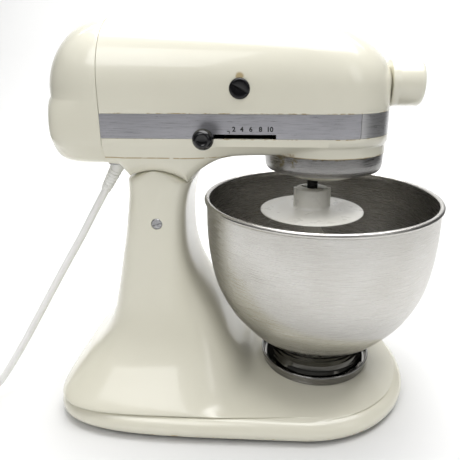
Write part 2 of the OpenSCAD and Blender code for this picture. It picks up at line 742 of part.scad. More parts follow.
// The pinion is turned so that one tooth stands in a gap of the centre gear
mesh_angle = atan2(-wheel_y, -wheel_x);
pinion_z = 262;
module drive_pinion() {
    color(steel) at_axis() translate([wheel_x, wheel_y, pinion_z]) rotate(mesh_angle)
        spur_gear(beater_teeth, 9, 4);
}
module center_shaft() {
    color(steel) at_axis() difference() {
        translate([0, 0, 214]) cylinder(r = center_shaft_r, h = 289 - 214);
        planetary_pin_hole();
    }
}
module center_gear() {
    color(steel) at_axis() translate([0, 0, pinion_z + 0.5]) rotate(mesh_angle + 180 + 180 / center_teeth)
        difference() {
            spur_gear(center_teeth, 8, center_shaft_r);
            for (a = [0:60:300]) rotate(a) translate([22, 0, -1]) cylinder(r = 7, h = 10);
        }
}
hub_axis_z = motor_z + 0.8;
module center_bevel_gear() {
    color(steel) at_axis() translate([0, 0, hub_axis_z - mitre_r]) mitre_gear(center_shaft_r, 3);
}
module hub_bevel_gear() {
    color(steel) at_axis() translate([mitre_r, 0, hub_axis_z]) rotate([0, -90, 0]) rotate(180 / mitre_teeth)
        mitre_gear(hub_shaft_r, 3);
}
module hub_drive_shaft() {
    color(steel) at_axis() translate([mitre_r - mitre_face, 0, hub_axis_z]) rotate([0, 90, 0]) difference() {
        union() {
            cylinder(r = hub_shaft_r, h = 64 - mitre_r + mitre_face);
            translate([0, 0, 60.2 - mitre_r + mitre_face]) cylinder(r = hub_flange_r, h = 3.8);
        }
        translate([-4.2, -4.2, 36]) cube([8.4, 8.4, 40]);
    }
}

// ---------- planetary and beater ----------

pin_z = 221;
module planetary_pin_hole() {
    translate([0, 0, pin_z]) rotate([90, 0, orbit_angle]) cylinder(r = 2, h = 48, center = true);
}
dome_r = 39;
module planetary_housing() {
    color(cream) at_axis() difference() {
        rotate_extrude($fn = 96) polygon(concat([[0, planet_top], [dome_r, planet_top]],
            [for (a = [0:9:90]) [dome_r * cos(a), 226 - 14 * sin(a)]]));
        translate([0, 0, 200]) cylinder(r = center_shaft_r, h = 40);
        translate([0, 0, 205]) cylinder(r = 2.4, h = 20);
        translate([beater_x, beater_y, 200]) cylinder(r = beater_shaft_r + running, h = 40);
        planetary_pin_hole();
    }
}
module planetary_pin() {
    color(steel) at_axis() translate([0, 0, pin_z]) rotate([90, 0, orbit_angle])
        cylinder(r = 2, h = 46, center = true);
}
module at_beater(z) { at_axis() translate([beater_x, beater_y, z]) children(); }
module beater_shaft() {
    color(black) at_beater(0) {
        translate([0, 0, 192.4]) cylinder(r = beater_shaft_r, h = 240 - 192.4);
        translate([0, 0, 200.5]) rotate([90, 0, 60]) cylinder(r = 1.6, h = 22, center = true);
    }
}
// The pinion is turned so that its teeth stand in the ring gear's gaps, which lie at whole tooth steps
ring_step = 360 / ring_teeth;
gap_angle = ring_step * round(orbit_angle / ring_step);
pinion_turn = orbit_angle + (gap_angle - orbit_angle) * ring_teeth / beater_teeth;
module beater_pinion() {
    color(steel) at_beater(232.2) rotate(pinion_turn) spur_gear(beater_teeth, 7.4, beater_shaft_r);
}

// The hook: a tapering bar that winds down and round from its shield disc
disc_z = 189;
disc_r = 47.4;
collar_r = 15;
collar_top = 207.6;
hook_path = [
    [0, 0, 188], [0, 0, 176], [4, 3, 162], [15, 8, 148], [27, 8, 132], [32, -3, 115], [27, -19, 99],
    [12, -27, 87], [-8, -23, 78.5], [-19, -6, 72.5], [-14, 11, 67.5], [1, 15, 65.5]
];
module dough_hook() {
    bar = curve(hook_path, 3);
    thick = [for (i = [0:len(bar) - 1]) lerp(8.6, 5, i / (len(bar) - 1))];
    color(white) at_beater(0) {
        tube_along(bar, thick, 14);
        difference() {
            rotate_extrude($fn = 96) polygon([
                [0, disc_z - 2.6], [16, disc_z - 2.4], [disc_r - 2, disc_z - 3.4], [disc_r, disc_z - 2.6],
                [disc_r - 0.8, disc_z - 1.6], [20, disc_z], [collar_r + 1.2, disc_z + 0.8],
                [collar_r, disc_z + 2.4],
                [collar_r, collar_top - 1], [collar_r - 1, collar_top], [0, collar_top]
            ]);
            translate([0, 0, 192]) cylinder(r = beater_shaft_r + running, h = 30);
            translate([0, 0, 205.4]) rotate([0, 0, 60]) cube([4, 23, 14.4], center = true);
        }
    }
}

// ---------- controls ----------

knob_x = -100.6;
knob_z = 259.2;
module speed_lever() {
    color(steel) at_axis() {
        translate([knob_x - 3, -64, 257.8]) cube([6, 14, 2.8]);
        translate([-212, -50.6, 256]) cube([knob_x + 3 + 212, 1.6, 6]);
    }
}
module speed_knob() {
    color(black) at_axis() translate([knob_x, -64, knob_z + 0.6]) rotate([90, 0, 0]) rotate_extrude()
        polygon([[0, 0], [4.4, 0], [4.6, 3], [7.2, 5], [8.4, 8.4], [8, 12], [6, 14.8], [3, 16], [0, 16.2]]);
}

lock_x = -100;
lock_z = 246;
module lock_lever() {
    color(black) at_axis() translate([lock_x, 0, lock_z]) rotate([-90, 0, 0]) {
        translate([0, 0, 42]) cylinder(r = 4, h = 15.2);
        translate([0, 0, 38]) cylinder(r = 5, h = 4);
        translate([0, 0, 57.2]) cylinder(r = 7, h = 3.6);
        translate([0, -3.6, 57.2]) cube([30, 7.2, 3.6]);
        translate([30, 0, 57.2]) cylinder(r = 5, h = 6.4);
    }
}

// ---------- brushes, board and lead entry ----------

module at_brushes() {
    for (s = [-1, 1]) translate([brush_x, 0, motor_z - 1]) rotate([-90 * s, 0, 0]) children();
}
module brush_holders() {
    color(bronze) at_axis() at_brushes() difference() {
        translate([0, 0, 20]) cylinder(r = 6.6, h = 30);
        translate([0, 0, 19]) cylinder(r = 4.1, h = 32);
    }
}
module carbon_brushes() {
    color(black) at_axis() at_brushes() translate([0, 0, 14.3]) cylinder(r = 4, h = 15);
}
spring_turns = 5;
module brush_springs() {
    steps = spring_turns * 9;
    path = [for (i = [0:steps]) [3 * cos(40 * i), 3 * sin(40 * i), 30 + 17.4 * i / steps]];
    color(steel) at_axis() at_brushes() tube_along(path, [for (p = path) 0.45], 4);
}
module brush_caps() {
    color(black) at_axis() at_brushes() difference() {
        union() {
            translate([0, 0, 50]) cylinder(r = 6.4, h = 3);
            translate([0, 0, 53]) cylinder(r = 8.1, h = 4.2);
        }
        translate([0, 0, 57]) rotate(-25) cube([14, 1.8, 3], center = true);
    }
}
module rear_board_parts() {
    translate([0, -16, 8]) cube([14, 14, 12]);
    translate([0, 6, 20]) rotate([0, 90, 0]) cylinder(r = 7, h = 16);
    translate([0, 16, 34]) cube([9, 8, 14]);
    translate([0, -22, 34]) cube([6, 22, 4]);
}
module control_board() {
    color([0.15, 0.35, 0.2]) at_axis() translate([-222, 0, 258]) {
        translate([-1.6, -30, 0]) cube([1.6, 60, 56]);
        rear_board_parts();
    }
}

cord_r = cord_d / 2;
entry = [-184.5, -26, 229];
exit_dir = unit([-14, -2, -25]);
relief_len = 26;
relief_r = 6.2;
neck_r = 4;
module cord_clamp() {
    color(bright) at_axis() translate([entry[0], entry[1], 230.5]) difference() {
        cylinder(r = 7.8, h = 1.5);
        translate([0, 0, -1]) cylinder(r = relief_r + 0.05, h = 4);
    }
}
module strain_relief() {
    color(white) at_axis() {
        translate(entry) cylinder(r = relief_r, h = 3.1);
        difference() {
            translate(entry) cylinder(r = neck_r, h = 14);
            translate([seam_x - 5, entry[1] - 8, entry[2] - 1]) cube([5.1, 16, 16]);
        }
        difference() {
            translate(entry) sphere(r = relief_r);
            translate(entry + [-8, -8, 0.5]) cube([16, 16, 8]);
        }
        translate(entry) rotate([0, acos(exit_dir[2]), atan2(exit_dir[1], exit_dir[0])])
            cylinder(r1 = 6, r2 = cord_r + 0.9, h = relief_len);
    }
}

// ---------- mains lead ----------

relief_end = entry + relief_len * exit_dir;
coil_center = [-338, -118];
coil_r = 6 * cord_d;
coil_low = 1;
coil_half = cord_d;
plug_at = [-290, -166];
plug_half = 11;
// The lead falls from the relief to the counter and runs to the coil
cord_route = [
    relief_end + 0.1 * exit_dir, relief_end + 9 * exit_dir, [-211, -31, 182], [-222, -35, 162],
    [-233, -40, 143], [-244, -44, 124],
    [-255, -47, 105], [-266, -50, 86], [-277, -53, 67], [-288, -56, 49], [-299, -59, 32], [-310, -62, 18],
    [-322, -66, 8], [-336, -70.2, 4.7], [-351.3, -74.5, 4.5]
];
// The last turn leaves the coil's near side for the plug
tail_route = [[-330, -163.4, 11.5], [-320, -163.6, 11.4], [-310, -164.8, 11.2], [-300, -165.8, 11],
    [-290, -166, 11]];
module power_cord() {
    color(white) at_axis() for (route = [curve(cord_route, 2), curve(tail_route, 2)])
        tube_along(route, [for (p = route) cord_r], 8);
}
module cord_coil() {
    color(white) at_axis() translate([coil_center[0], coil_center[1], coil_low]) rotate_extrude($fn = 72)
        translate([coil_r - coil_half, 0]) square([2 * coil_half, 2 * cord_d]);
}
tie_thick = 0.9;
module cord_ties() {
    color(black) at_axis() translate([coil_center[0], coil_center[1], 0]) for (a = [-20, 200]) rotate(a)
        translate([coil_r, 4, 8.05]) rotate([90, 0, 0]) linear_extrude(8) difference() {
            translate([-0.2, 0]) square([2 * coil_half + 2 * tie_thick + 0.5, 16], center = true);
            translate([-0.2, 0]) square([2 * coil_half + 0.5, 2 * cord_d + 0.1], center = true);
        }
}
plug_neck = 16;
module power_plug() {
    color(white) at_axis() translate([plug_at[0], plug_at[1], plug_half]) {
        rotate([0, 90, 0]) cylinder(r1 = cord_r + 0.8, r2 = 7, h = plug_neck);
        translate([plug_neck, -12, -plug_half]) cube([22, 24, 2 * plug_half]);
        for (y = [-6.4, 6.4]) translate([plug_neck + 22, y - 0.75, -3.2]) cube([17, 1.5, 6.4]);
        translate([plug_neck + 22, 0, 7]) rotate([0, 90, 0]) cylinder(r = 2.4, h = 20);
    }
}

stand_casting();
rubber_feet();
bowl_clamp_plate();
clamp_plate_screws();
hinge_pin();
mixing_bowl();
bowl_foot();
upper_housing();
lower_housing();
rear_cover();
rear_cover_screw();
hinge_lug();
speed_band();
side_band();
front_band();
drip_ring();
hub_boss();
ring_gear();
case_bushes();
gear_bracket();
front_motor_frame();
rear_motor_frame();
motor_bearings();
stator_core();
field_coils();
brush_holders();
carbon_brushes();
brush_springs();
brush_caps();
control_board();
strain_relief();
cord_clamp();
armature_shaft();
armature_core();
commutator();
cooling_fan();
worm();
worm_wheel();
worm_wheel_shaft();
drive_pinion();
center_shaft();
center_gear();
center_bevel_gear();
planetary_housing();
planetary_pin();
hub_drive_shaft();
hub_bevel_gear();
beater_shaft();
beater_pinion();
dough_hook();
speed_lever();
speed_knob();
lock_lever();
attachment_knob();
power_cord();
cord_coil();
cord_ties();
power_plug();
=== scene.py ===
"""A tilting-head stand mixer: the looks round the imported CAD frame.

Outlines are in millimetres from the bowl's upright axis and the counter, and placed() turns them
into metres in the row frame. +X is the front, +Y the far side, +Z up.
"""
import json
import math

import bmesh
import bpy
import numpy as np
from mathutils import Matrix, Vector


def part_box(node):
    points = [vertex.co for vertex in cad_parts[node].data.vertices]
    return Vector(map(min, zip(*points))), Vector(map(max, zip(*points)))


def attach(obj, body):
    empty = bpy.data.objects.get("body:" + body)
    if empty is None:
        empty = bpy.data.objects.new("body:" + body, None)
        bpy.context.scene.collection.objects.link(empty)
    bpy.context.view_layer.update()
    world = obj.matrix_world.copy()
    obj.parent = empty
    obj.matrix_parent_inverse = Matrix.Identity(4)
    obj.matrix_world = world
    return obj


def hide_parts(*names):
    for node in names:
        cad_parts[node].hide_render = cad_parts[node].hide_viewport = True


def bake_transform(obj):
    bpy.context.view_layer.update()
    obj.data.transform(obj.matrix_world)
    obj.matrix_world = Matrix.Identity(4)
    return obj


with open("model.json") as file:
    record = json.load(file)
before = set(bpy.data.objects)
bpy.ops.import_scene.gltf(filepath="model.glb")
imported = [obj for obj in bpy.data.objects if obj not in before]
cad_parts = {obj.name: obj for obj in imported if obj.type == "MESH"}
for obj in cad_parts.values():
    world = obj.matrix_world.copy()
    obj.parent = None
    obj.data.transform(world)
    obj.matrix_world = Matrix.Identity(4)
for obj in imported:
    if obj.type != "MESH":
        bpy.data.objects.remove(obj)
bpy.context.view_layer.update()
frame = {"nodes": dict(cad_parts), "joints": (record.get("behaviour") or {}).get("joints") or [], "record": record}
NODES = frame["nodes"]
RECORD = frame["record"]
SCENE = bpy.context.scene

MM = 0.001
bowl_low, bowl_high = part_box("mixing_bowl")
AXIS_X = (bowl_low.x + bowl_high.x) / 2


def joint_place(name):
    """A joint's point, in millimetres from the bowl's axis."""
    place = next(j for j in frame["joints"] if j["name"] == name)["pos_m"]
    return np.array([(place[0] - AXIS_X) / MM, place[1] / MM, place[2] / MM])


HINGE = joint_place("head_tilt")
HUB_Z = joint_place("hub_spin")[2]
BEATER = joint_place("beater_spin")
MOTOR_Z = joint_place("motor_spin")[2]
LOCK = joint_place("lock_turn")


def placed(points):
    return np.asarray(points, float) * MM + (AXIS_X, 0, 0)


# ---------- camera ----------

SENSOR_MM = 36
LENS_MM = 36.56
CAMERA_SHIFT = (-0.0438, -0.0525)
CAMERA_AT = (-47.5, -430.6, 317.3)
CAMERA_TURN = (72.81, 0, 2.66)


def make_camera():
    data = bpy.data.cameras.new("camera")
    data.sensor_width = SENSOR_MM
    data.lens = LENS_MM
    data.shift_x, data.shift_y = CAMERA_SHIFT
    data.clip_start, data.clip_end = 0.01, 60
    camera = bpy.data.objects.new("camera", data)
    SCENE.collection.objects.link(camera)
    camera.location = Vector(placed(CAMERA_AT))
    camera.rotation_euler = [math.radians(a) for a in CAMERA_TURN]
    SCENE.camera = camera


make_camera()


# ---------- materials ----------


class Look:
    """One procedural material: a Principled shader and the nodes that feed it."""

    def __init__(self, name, **constants):
        self.material = bpy.data.materials.new(name)
        self.material.use_nodes = True
        self.tree = self.material.node_tree
        self.shader = self.tree.nodes["Principled BSDF"]
        for socket, value in constants.items():
            self.shader.inputs[socket.replace("_", " ")].default_value = value
        self.here = self.add("ShaderNodeTexCoord").outputs["Object"]
        self.axes = None

    def add(self, kind, **settings):
        node = self.tree.nodes.new(kind)
        for name, value in settings.items():
            setattr(node, name, value)
        return node

    def feed(self, socket, value):
        if isinstance(value, bpy.types.NodeSocket):
            self.tree.links.new(value, socket)
        else:
            socket.default_value = value

    def math(self, operation, a, b=0.0, clamp=False):
        node = self.add("ShaderNodeMath", operation=operation, use_clamp=clamp)
        self.feed(node.inputs[0], a)
        self.feed(node.inputs[1], b)
        return node.outputs[0]

    def axis(self, index):
        if self.axes is None:
            self.axes = self.add("ShaderNodeSeparateXYZ")
            self.feed(self.axes.inputs[0], self.here)
        return self.axes.outputs[index]

    def noise(self, scale, stretch=(1, 1, 1), detail=3.0, rough=0.5, shift=(0, 0, 0)):
        """Noise of about 1/scale metres, drawn out along an axis whose stretch is small."""
        mapping = self.add("ShaderNodeMapping")
        self.feed(mapping.inputs["Vector"], self.here)
        mapping.inputs["Scale"].default_value = stretch
        mapping.inputs["Location"].default_value = shift
        node = self.add("ShaderNodeTexNoise")
        self.feed(node.inputs["Vector"], mapping.outputs[0])
        for socket, number in (("Scale", scale), ("Detail", detail), ("Roughness", rough)):
            node.inputs[socket].default_value = number
        return node.outputs[0]

    def spread(self, value, low, high, out_low=0.0, out_high=1.0):
        """value's range from low to high, eased into out_low to out_high."""
        node = self.add("ShaderNodeMapRange", interpolation_type="SMOOTHSTEP")
        for socket, number in zip(node.inputs[:5], (value, low, high, out_low, out_high)):
            self.feed(socket, number)
        return node.outputs[0]

    def line(self, value, place, half, soft):
        """1 where value is within half of place, and 0 past soft more."""
        off = self.math("ABSOLUTE", self.math("SUBTRACT", value, place))
        return self.spread(off, half, half + soft, 1.0, 0.0)

    def spot(self, point, radius, soft):
        """1 within radius of a point given in millimetres from the bowl's axis."""
        node = self.add("ShaderNodeVectorMath", operation="DISTANCE")
        self.feed(node.inputs[0], self.here)
        node.inputs[1].default_value = placed(point)
        return self.spread(node.outputs["Value"], radius * MM, (radius + soft) * MM, 1.0, 0.0)

    def mix(self, share, a, b):
        node = self.add("ShaderNodeMix", data_type="RGBA")
        colours = [s for s in node.inputs if s.type == "RGBA"]
        self.feed(node.inputs[0], share)
        for socket, colour in zip(colours, (a, b)):
            self.feed(socket, (*colour, 1) if isinstance(colour, tuple) else colour)
        return next(s for s in node.outputs if s.type == "RGBA")

    def colour(self, value):
        self.feed(self.shader.inputs["Base Color"], value)

    def roughness(self, value):
        self.feed(self.shader.inputs["Roughness"], value)

    def bump(self, height, depth_mm, share=1.0):
        node = self.add("ShaderNodeBump")
        node.inputs["Strength"].default_value = share
        node.inputs["Distance"].default_value = depth_mm * MM
        self.feed(node.inputs["Height"], height)
        self.feed(self.shader.inputs["Normal"], node.outputs[0])


GRIME = (0.36, 0.26, 0.10)
BAND_TOP, BAND_LOW, CASE_LOW, SEAM_X = 277, 257.4, 240.5, -187


def enamel(name, lines=(), spots=()):
    """Baked cream enamel, a little yellowed. lines are grimy joints across X or Z as (axis, place,
    half width, least noise), in millimetres from the bowl's axis; spots are (point, radius)."""
    look = Look(name, Coat_Weight=0.5, Coat_Roughness=0.05, Specular_IOR_Level=0.5)
    cloud = look.noise(9, detail=2)
    clean = look.mix(look.spread(cloud, 0.3, 0.7), (0.718, 0.695, 0.580), (0.738, 0.716, 0.603))
    patch = look.noise(140, detail=4, rough=0.65)
    dirt = 0.0
    for axis, place, half, least in lines:
        metres = place * MM + (AXIS_X if axis == 0 else 0)
        along = look.line(look.axis(axis), metres, half * MM, half * MM)
        worn = look.math("MULTIPLY", along, look.spread(patch, least, least + 0.14))
        dirt = look.math("MAXIMUM", dirt, worn)
    for point, radius in spots:
        worn = look.math("MULTIPLY", look.spot(point, radius, radius), look.spread(patch, 0.4, 0.6))
        dirt = look.math("MAXIMUM", dirt, worn)
    look.colour(look.mix(look.math("MULTIPLY", dirt, 0.85), clean, GRIME) if lines or spots else clean)
    rub = look.noise(35, detail=3, rough=0.5)
    look.roughness(look.math("ADD", look.spread(rub, 0.3, 0.7, 0.23, 0.27), look.math("MULTIPLY", dirt, 0.3)))
    look.bump(look.noise(420, detail=1), 0.03, 0.3)
    return look.material


def brushed(name, dull, shine, stretch, rough=(0.22, 0.36), scale=60, depth=0.02, **constants):
    """Metal with fine parallel scratches; stretch is small along them."""
    look = Look(name, Metallic=1.0, **constants)
    grain = look.noise(scale, stretch=stretch, detail=6, rough=0.65)
    cloud = look.noise(25, detail=3)
    tone = look.math("ADD", look.math("MULTIPLY", grain, 0.7), look.math("MULTIPLY", cloud, 0.3))
    look.colour(look.mix(look.spread(tone, 0.36, 0.64), dull, shine))
    look.roughness(look.spread(grain, 0.3, 0.7, *rough))
    look.bump(grain, depth, 0.5)
    return look


def turned(look):
    """Highlights drawn out across scratches that run round the upright axis."""
    tangent = look.add("ShaderNodeTangent", direction_type="RADIAL", axis="Z")
    look.feed(look.shader.inputs["Tangent"], tangent.outputs[0])
    return look


def band_metal():
    look = brushed("band_metal", (0.44, 0.44, 0.47), (0.55, 0.545, 0.58), (1, 1, 40), (0.26, 0.4))
    return look.material


def ring_metal():
    """The drip ring, with dough stains on its rear left."""
    look = brushed("ring_metal", (0.24, 0.235, 0.23), (0.34, 0.335, 0.33), (1, 1, 30), (0.24, 0.36))
    clean = look.shader.inputs["Base Color"].links[0].from_socket
    patch = look.noise(170, detail=5, rough=0.7)
    stain = look.line(look.axis(2), CASE_LOW * MM, 0.7 * MM, 0.8 * MM)
    stain = look.math("MULTIPLY", stain, look.spread(patch, 0.48, 0.60))
    for point, radius in (((-40, -35, 236), 4), ((-29, -45, 235.5), 2.2), ((-34, -41, 240), 3)):
        mark = look.math("MULTIPLY", look.spot(point, radius, 3), look.spread(patch, 0.47, 0.57))
        stain = look.math("MAXIMUM", stain, mark)
    look.colour(look.mix(look.math("MULTIPLY", stain, 0.9), clean, (0.13, 0.10, 0.03)))
    look.feed(look.shader.inputs["Metallic"], look.math("SUBTRACT", 1.0, stain, clamp=True))
    return look.material


def bowl_steel():
    """Spun stainless sheet: fine rings, faint clouding, and a few dull smudges low on the side."""
    look = brushed("bowl_steel", (0.50, 0.485, 0.455), (0.57, 0.56, 0.54), (1, 1, 60), (0.24, 0.29), 60, 0.006,
                   Anisotropic=0.75)
    clean = look.shader.inputs["Base Color"].links[0].from_socket
    smudge = look.spread(look.noise(70, detail=4, rough=0.6, shift=(3, 1, 2)), 0.68, 0.74)
    smudge = look.math("MULTIPLY", smudge, look.spread(look.axis(2), 0.05, 0.12, 0.5, 0.12))
    look.colour(look.mix(smudge, clean, (0.25, 0.23, 0.19)))
    return turned(look).material


def bright_steel(name, dull, shine, rough=(0.1, 0.2)):
    look = brushed(name, dull, shine, (1, 1, 18), rough, 90, 0.006)
    return look.material


def plain(name, dark, light, rough, scale=300, depth=0.03, **constants):
    """Moulded or cast stuff: two close tones, uneven gloss and a fine skin."""
    look = Look(name, **constants)
    look.colour(look.mix(look.spread(look.noise(scale / 6, detail=4), 0.3, 0.7), dark, light))
    look.roughness(look.spread(look.noise(scale / 3, detail=5, rough=0.7), 0.3, 0.7, *rough))
    look.bump(look.noise(scale, detail=2), depth, 0.5)
    return look.material


def hook_plastic():
    """Satin white coating with faint scuffs."""
    look = Look("hook_plastic", Coat_Weight=0.2, Coat_Roughness=0.15)
    tone = look.mix(look.spread(look.noise(30, detail=3), 0.3, 0.7), (0.70, 0.685, 0.63), (0.76, 0.75, 0.70))
    scuff = look.spread(look.noise(55, stretch=(1, 3, 1), detail=6, rough=0.75), 0.62, 0.74)
    look.colour(look.mix(look.math("MULTIPLY", scuff, 0.35), tone, (0.42, 0.40, 0.33)))
    look.roughness(look.spread(look.noise(80, detail=4), 0.3, 0.7, 0.26, 0.4))
    look.bump(look.noise(500, detail=2), 0.04, 0.4)
    return look.material


def winding():
    """Varnished copper wire, laid side by side along the motor."""
    look = Look("copper", Metallic=1.0, Coat_Weight=0.5)
    wave = look.add("ShaderNodeTexWave", wave_type="BANDS", bands_direction="X")
    look.feed(wave.inputs["Vector"], look.here)
    wave.inputs["Scale"].default_value = 160
    wave.inputs["Distortion"].default_value = 1.2
    look.colour(look.mix(wave.outputs[0], (0.28, 0.09, 0.03), (0.72, 0.32, 0.15)))
    look.roughness(look.spread(look.noise(90), 0.3, 0.7, 0.25, 0.4))
    look.bump(wave.outputs[0], 0.3, 0.6)
    return look.material


HEAD_LINES = ((2, BAND_TOP + 0.5, 0.3, 0.46), (2, BAND_LOW - 0.4, 0.3, 0.50), (2, CASE_LOW + 0.1, 0.35, 0.36))
LOOKS = {
    "cream_paint": enamel("cream_paint", HEAD_LINES, (((-73.3, -56, 306), 2.4), ((-33, -42, 241), 4))),
    "band_metal": band_metal(),
    "ring_metal": ring_metal(),
    "bowl_steel": bowl_steel(),
    # foot_chrome's near-black base colour is painted shade. It stands in for the dark surroundings that the foot's
    # chrome mirrors.
    "foot_chrome": bright_steel("foot_chrome", (0.055, 0.052, 0.045), (0.10, 0.098, 0.09), (0.06, 0.13)),
    "clamp_chrome": bright_steel("clamp_chrome", (0.20, 0.195, 0.19), (0.30, 0.295, 0.285), (0.06, 0.13)),
    "steel": brushed("steel", (0.30, 0.30, 0.31), (0.50, 0.50, 0.51), (4, 4, 12)).material,
    "cast_lug": plain("cast_lug", (0.16, 0.16, 0.155), (0.26, 0.26, 0.25), (0.45, 0.6), 500, 0.1,
                      Metallic=0.8),
    "bronze": brushed("bronze", (0.36, 0.22, 0.08), (0.55, 0.36, 0.14), (4, 4, 10)).material,
    "copper": winding(),
    "black_plastic": plain("black_plastic", (0.002, 0.002, 0.0025), (0.004, 0.004, 0.005), (0.05, 0.12), 350,
                           0.005),
    "black_steel": brushed("black_steel", (0.012, 0.012, 0.012), (0.035, 0.034, 0.033), (1, 1, 12)).material,
    "fan_plastic": plain("fan_plastic", (0.03, 0.03, 0.03), (0.055, 0.055, 0.055), (0.4, 0.55)),
    "hook_plastic": hook_plastic(),
    "board": plain("board", (0.03, 0.11, 0.05), (0.05, 0.17, 0.08), (0.35, 0.5), 600, 0.05),
    "cord_white": plain("cord_white", (0.88, 0.875, 0.85), (0.92, 0.92, 0.90), (0.32, 0.46), 420, 0.04),
    "foot_rubber": plain("foot_rubber", (0.012, 0.012, 0.012), (0.03, 0.03, 0.03), (0.6, 0.8), 700, 0.08),
}
COVER_PAINT = enamel("cover_paint")
# stand_paint's line is no joint. It darkens the enamel in a patchy band round the base, 6 mm up on the underside
# of its bottom roll.
STAND_PAINT = enamel("stand_paint", ((2, 6, 1.6, 0.5),), (((-105, -40, 216), 3),))
PRINT_INK = plain("print_ink", (0.008, 0.008, 0.009), (0.02, 0.02, 0.02), (0.35, 0.5))
PRONG_METAL = bright_steel("prong_metal", (0.45, 0.40, 0.27), (0.62, 0.56, 0.40))


def dress_nodes():
    """Every CAD node takes the look of its material slot."""
    for row in RECORD["subparts"]:
        mesh = NODES[row["node"]].data
        mesh.materials.clear()
        mesh.materials.append(LOOKS[row["material_slot"]])


dress_nodes()
# The front band gets a lighter copy of the band metal. This is painted light, for the front of the band where it
# faces the lamps.
BAND_METAL_PAINTED_LIGHT = brushed("band_metal_painted_light", (0.62, 0.62, 0.63), (0.72, 0.72, 0.73), (1, 1, 40), (0.26, 0.38))
NODES["front_band"].data.materials[0] = BAND_METAL_PAINTED_LIGHT.material


# ---------- mesh helpers ----------


def row_of(table, s):
    i = 0
    while i < len(table) - 2 and s >= table[i + 1][0]:
        i += 1
    return i


def smooth_row(table, s):
    """The table's row at s, on a smooth curve through its rows; the first column rises."""
    table = np.asarray(table, float)
    last = len(table) - 1

    def slope(i):
        a, b = max(i - 1, 0), min(i + 1, last)
        return (table[b] - table[a]) / (table[b][0] - table[a][0])

    i = row_of(table, s)
    h = table[i + 1][0] - table[i][0]
    t = (s - table[i][0]) / h
    return (
        table[i] * (2 * t**3 - 3 * t**2 + 1)
        + slope(i) * h * (t**3 - 2 * t**2 + t)
        + table[i + 1] * (3 * t**2 - 2 * t**3)
        + slope(i + 1) * h * (t**3 - t**2)
    )


def curve(points, steps):
    """Points on a smooth curve through given points."""
    p = np.asarray(points, float)
    last = len(p) - 1
    out = []
    for i in range(last):
        m0 = (p[i + 1] - p[max(i - 1, 0)]) / 2
        m1 = (p[min(i + 2, last)] - p[i]) / 2
        for k in range(steps):
            t = k / steps
            out.append(
                p[i] * (2 * t**3 - 3 * t**2 + 1)
                + m0 * (t**3 - 2 * t**2 + t)
                + p[i + 1] * (3 * t**2 - 2 * t**3)
                + m1 * (t**3 - t**2)
            )
    out.append(p[last])
    return np.array(out)


def rounded(outline, radius, steps=4, closed=True):
    """The outline with every corner off the axis turned into a short curve."""
    p = [np.array(q, float) for q in outline]
    n = len(p)
    out = []
    for i in range(n):
        if (not closed and i in (0, n - 1)) or abs(p[i][0]) < 1e-9:
            out.append(p[i])
            continue
        a, b = p[i - 1], p[(i + 1) % n]
        cut_a = min(radius / max(np.linalg.norm(a - p[i]), 1e-9), 0.45)
        cut_b = min(radius / max(np.linalg.norm(b - p[i]), 1e-9), 0.45)
        start, end = p[i] + (a - p[i]) * cut_a, p[i] + (b - p[i]) * cut_b
        for k in range(steps + 1):
            t = k / steps
            out.append(start * (1 - t) ** 2 + 2 * p[i] * t * (1 - t) + end * t**2)
    return np.array(out)


def smoothed(points, first, last, passes):
    """Points first to last of a row, each drawn towards its neighbours, passes times."""
    p = np.array(points, float)
    for _ in range(passes):
        p[first:last] = (p[first - 1 : last - 1] + 2 * p[first:last] + p[first + 1 : last + 1]) / 4
    return p


def loft(rings, ends="flat", around=True, closed=False):
    """Points and faces of a skin through rings. ends closes both ends flat, in strips between a
    ring's mirrored halves, or not at all; closed joins the last ring to the first."""
    rings = [np.asarray(r, float) for r in rings]
    rows, n = len(rings), len(rings[0])
    faces = []
    for i in range(rows if closed else rows - 1):
        j = (i + 1) % rows
        for k in range(n if around else n - 1):
            m = (k + 1) % n
            faces.append((i * n + k, i * n + m, j * n + m, j * n + k))
    if not closed and ends != "open":
        for first in (0, (rows - 1) * n):
            if ends == "flat":
                faces.append(tuple(first + k for k in range(n)))
            else:
                faces += [(first + k, first + k + 1, first + n - 2 - k, first + n - 1 - k)
                          for k in range(n // 2 - 1)]
    return np.concatenate(rings), faces


def lathe(outline, segments=128, start=0.0, turn=360.0):
    """An outline of (radius, height) turned about Z."""
    whole = abs(turn) >= 360
    angles = np.radians(np.linspace(start, start + turn, segments, endpoint=not whole))
    rings = [[(r * math.cos(a), r * math.sin(a), z) for r, z in outline] for a in angles]
    return loft(rings, closed=whole)


def moved(shape, matrix=None, offset=(0, 0, 0)):
    points, faces = shape
    if matrix is not None:
        points = points @ np.array(matrix.to_3x3()).T
    return points + np.asarray(offset, float), faces


def joined(*shapes):
    points, faces, base = [], [], 0
    for p, f in shapes:
        points.append(np.asarray(p, float))
        faces += [tuple(i + base for i in face) for face in f]
        base += len(p)
    return np.concatenate(points), faces


def tube(path, radius, sides=16):
    """A round bar along a path; radius is one number or one for each point."""
    p = np.asarray(path, float)
    radii = np.broadcast_to(radius, len(p))
    ahead = np.gradient(p, axis=0)
    ahead /= np.linalg.norm(ahead, axis=1)[:, None]
    spoke = np.array([0.3, 1.0, 0.2])
    rings = []
    for point, way, r in zip(p, ahead, radii):
        spoke = spoke - way * (spoke @ way)
        spoke /= np.linalg.norm(spoke)
        side = np.cross(way, spoke)
        rings.append([
            point + r * (spoke * math.cos(a) + side * math.sin(a))
            for a in np.linspace(0, 2 * math.pi, sides, endpoint=False)
        ])
    return loft(rings)


def box(low, high):
    (x0, y0, z0), (x1, y1, z1) = low, high
    bottom = [(x0, y0, z0), (x1, y0, z0), (x1, y1, z0), (x0, y1, z0)]
    return loft([bottom, [(x, y, z1) for x, y, _ in bottom]])


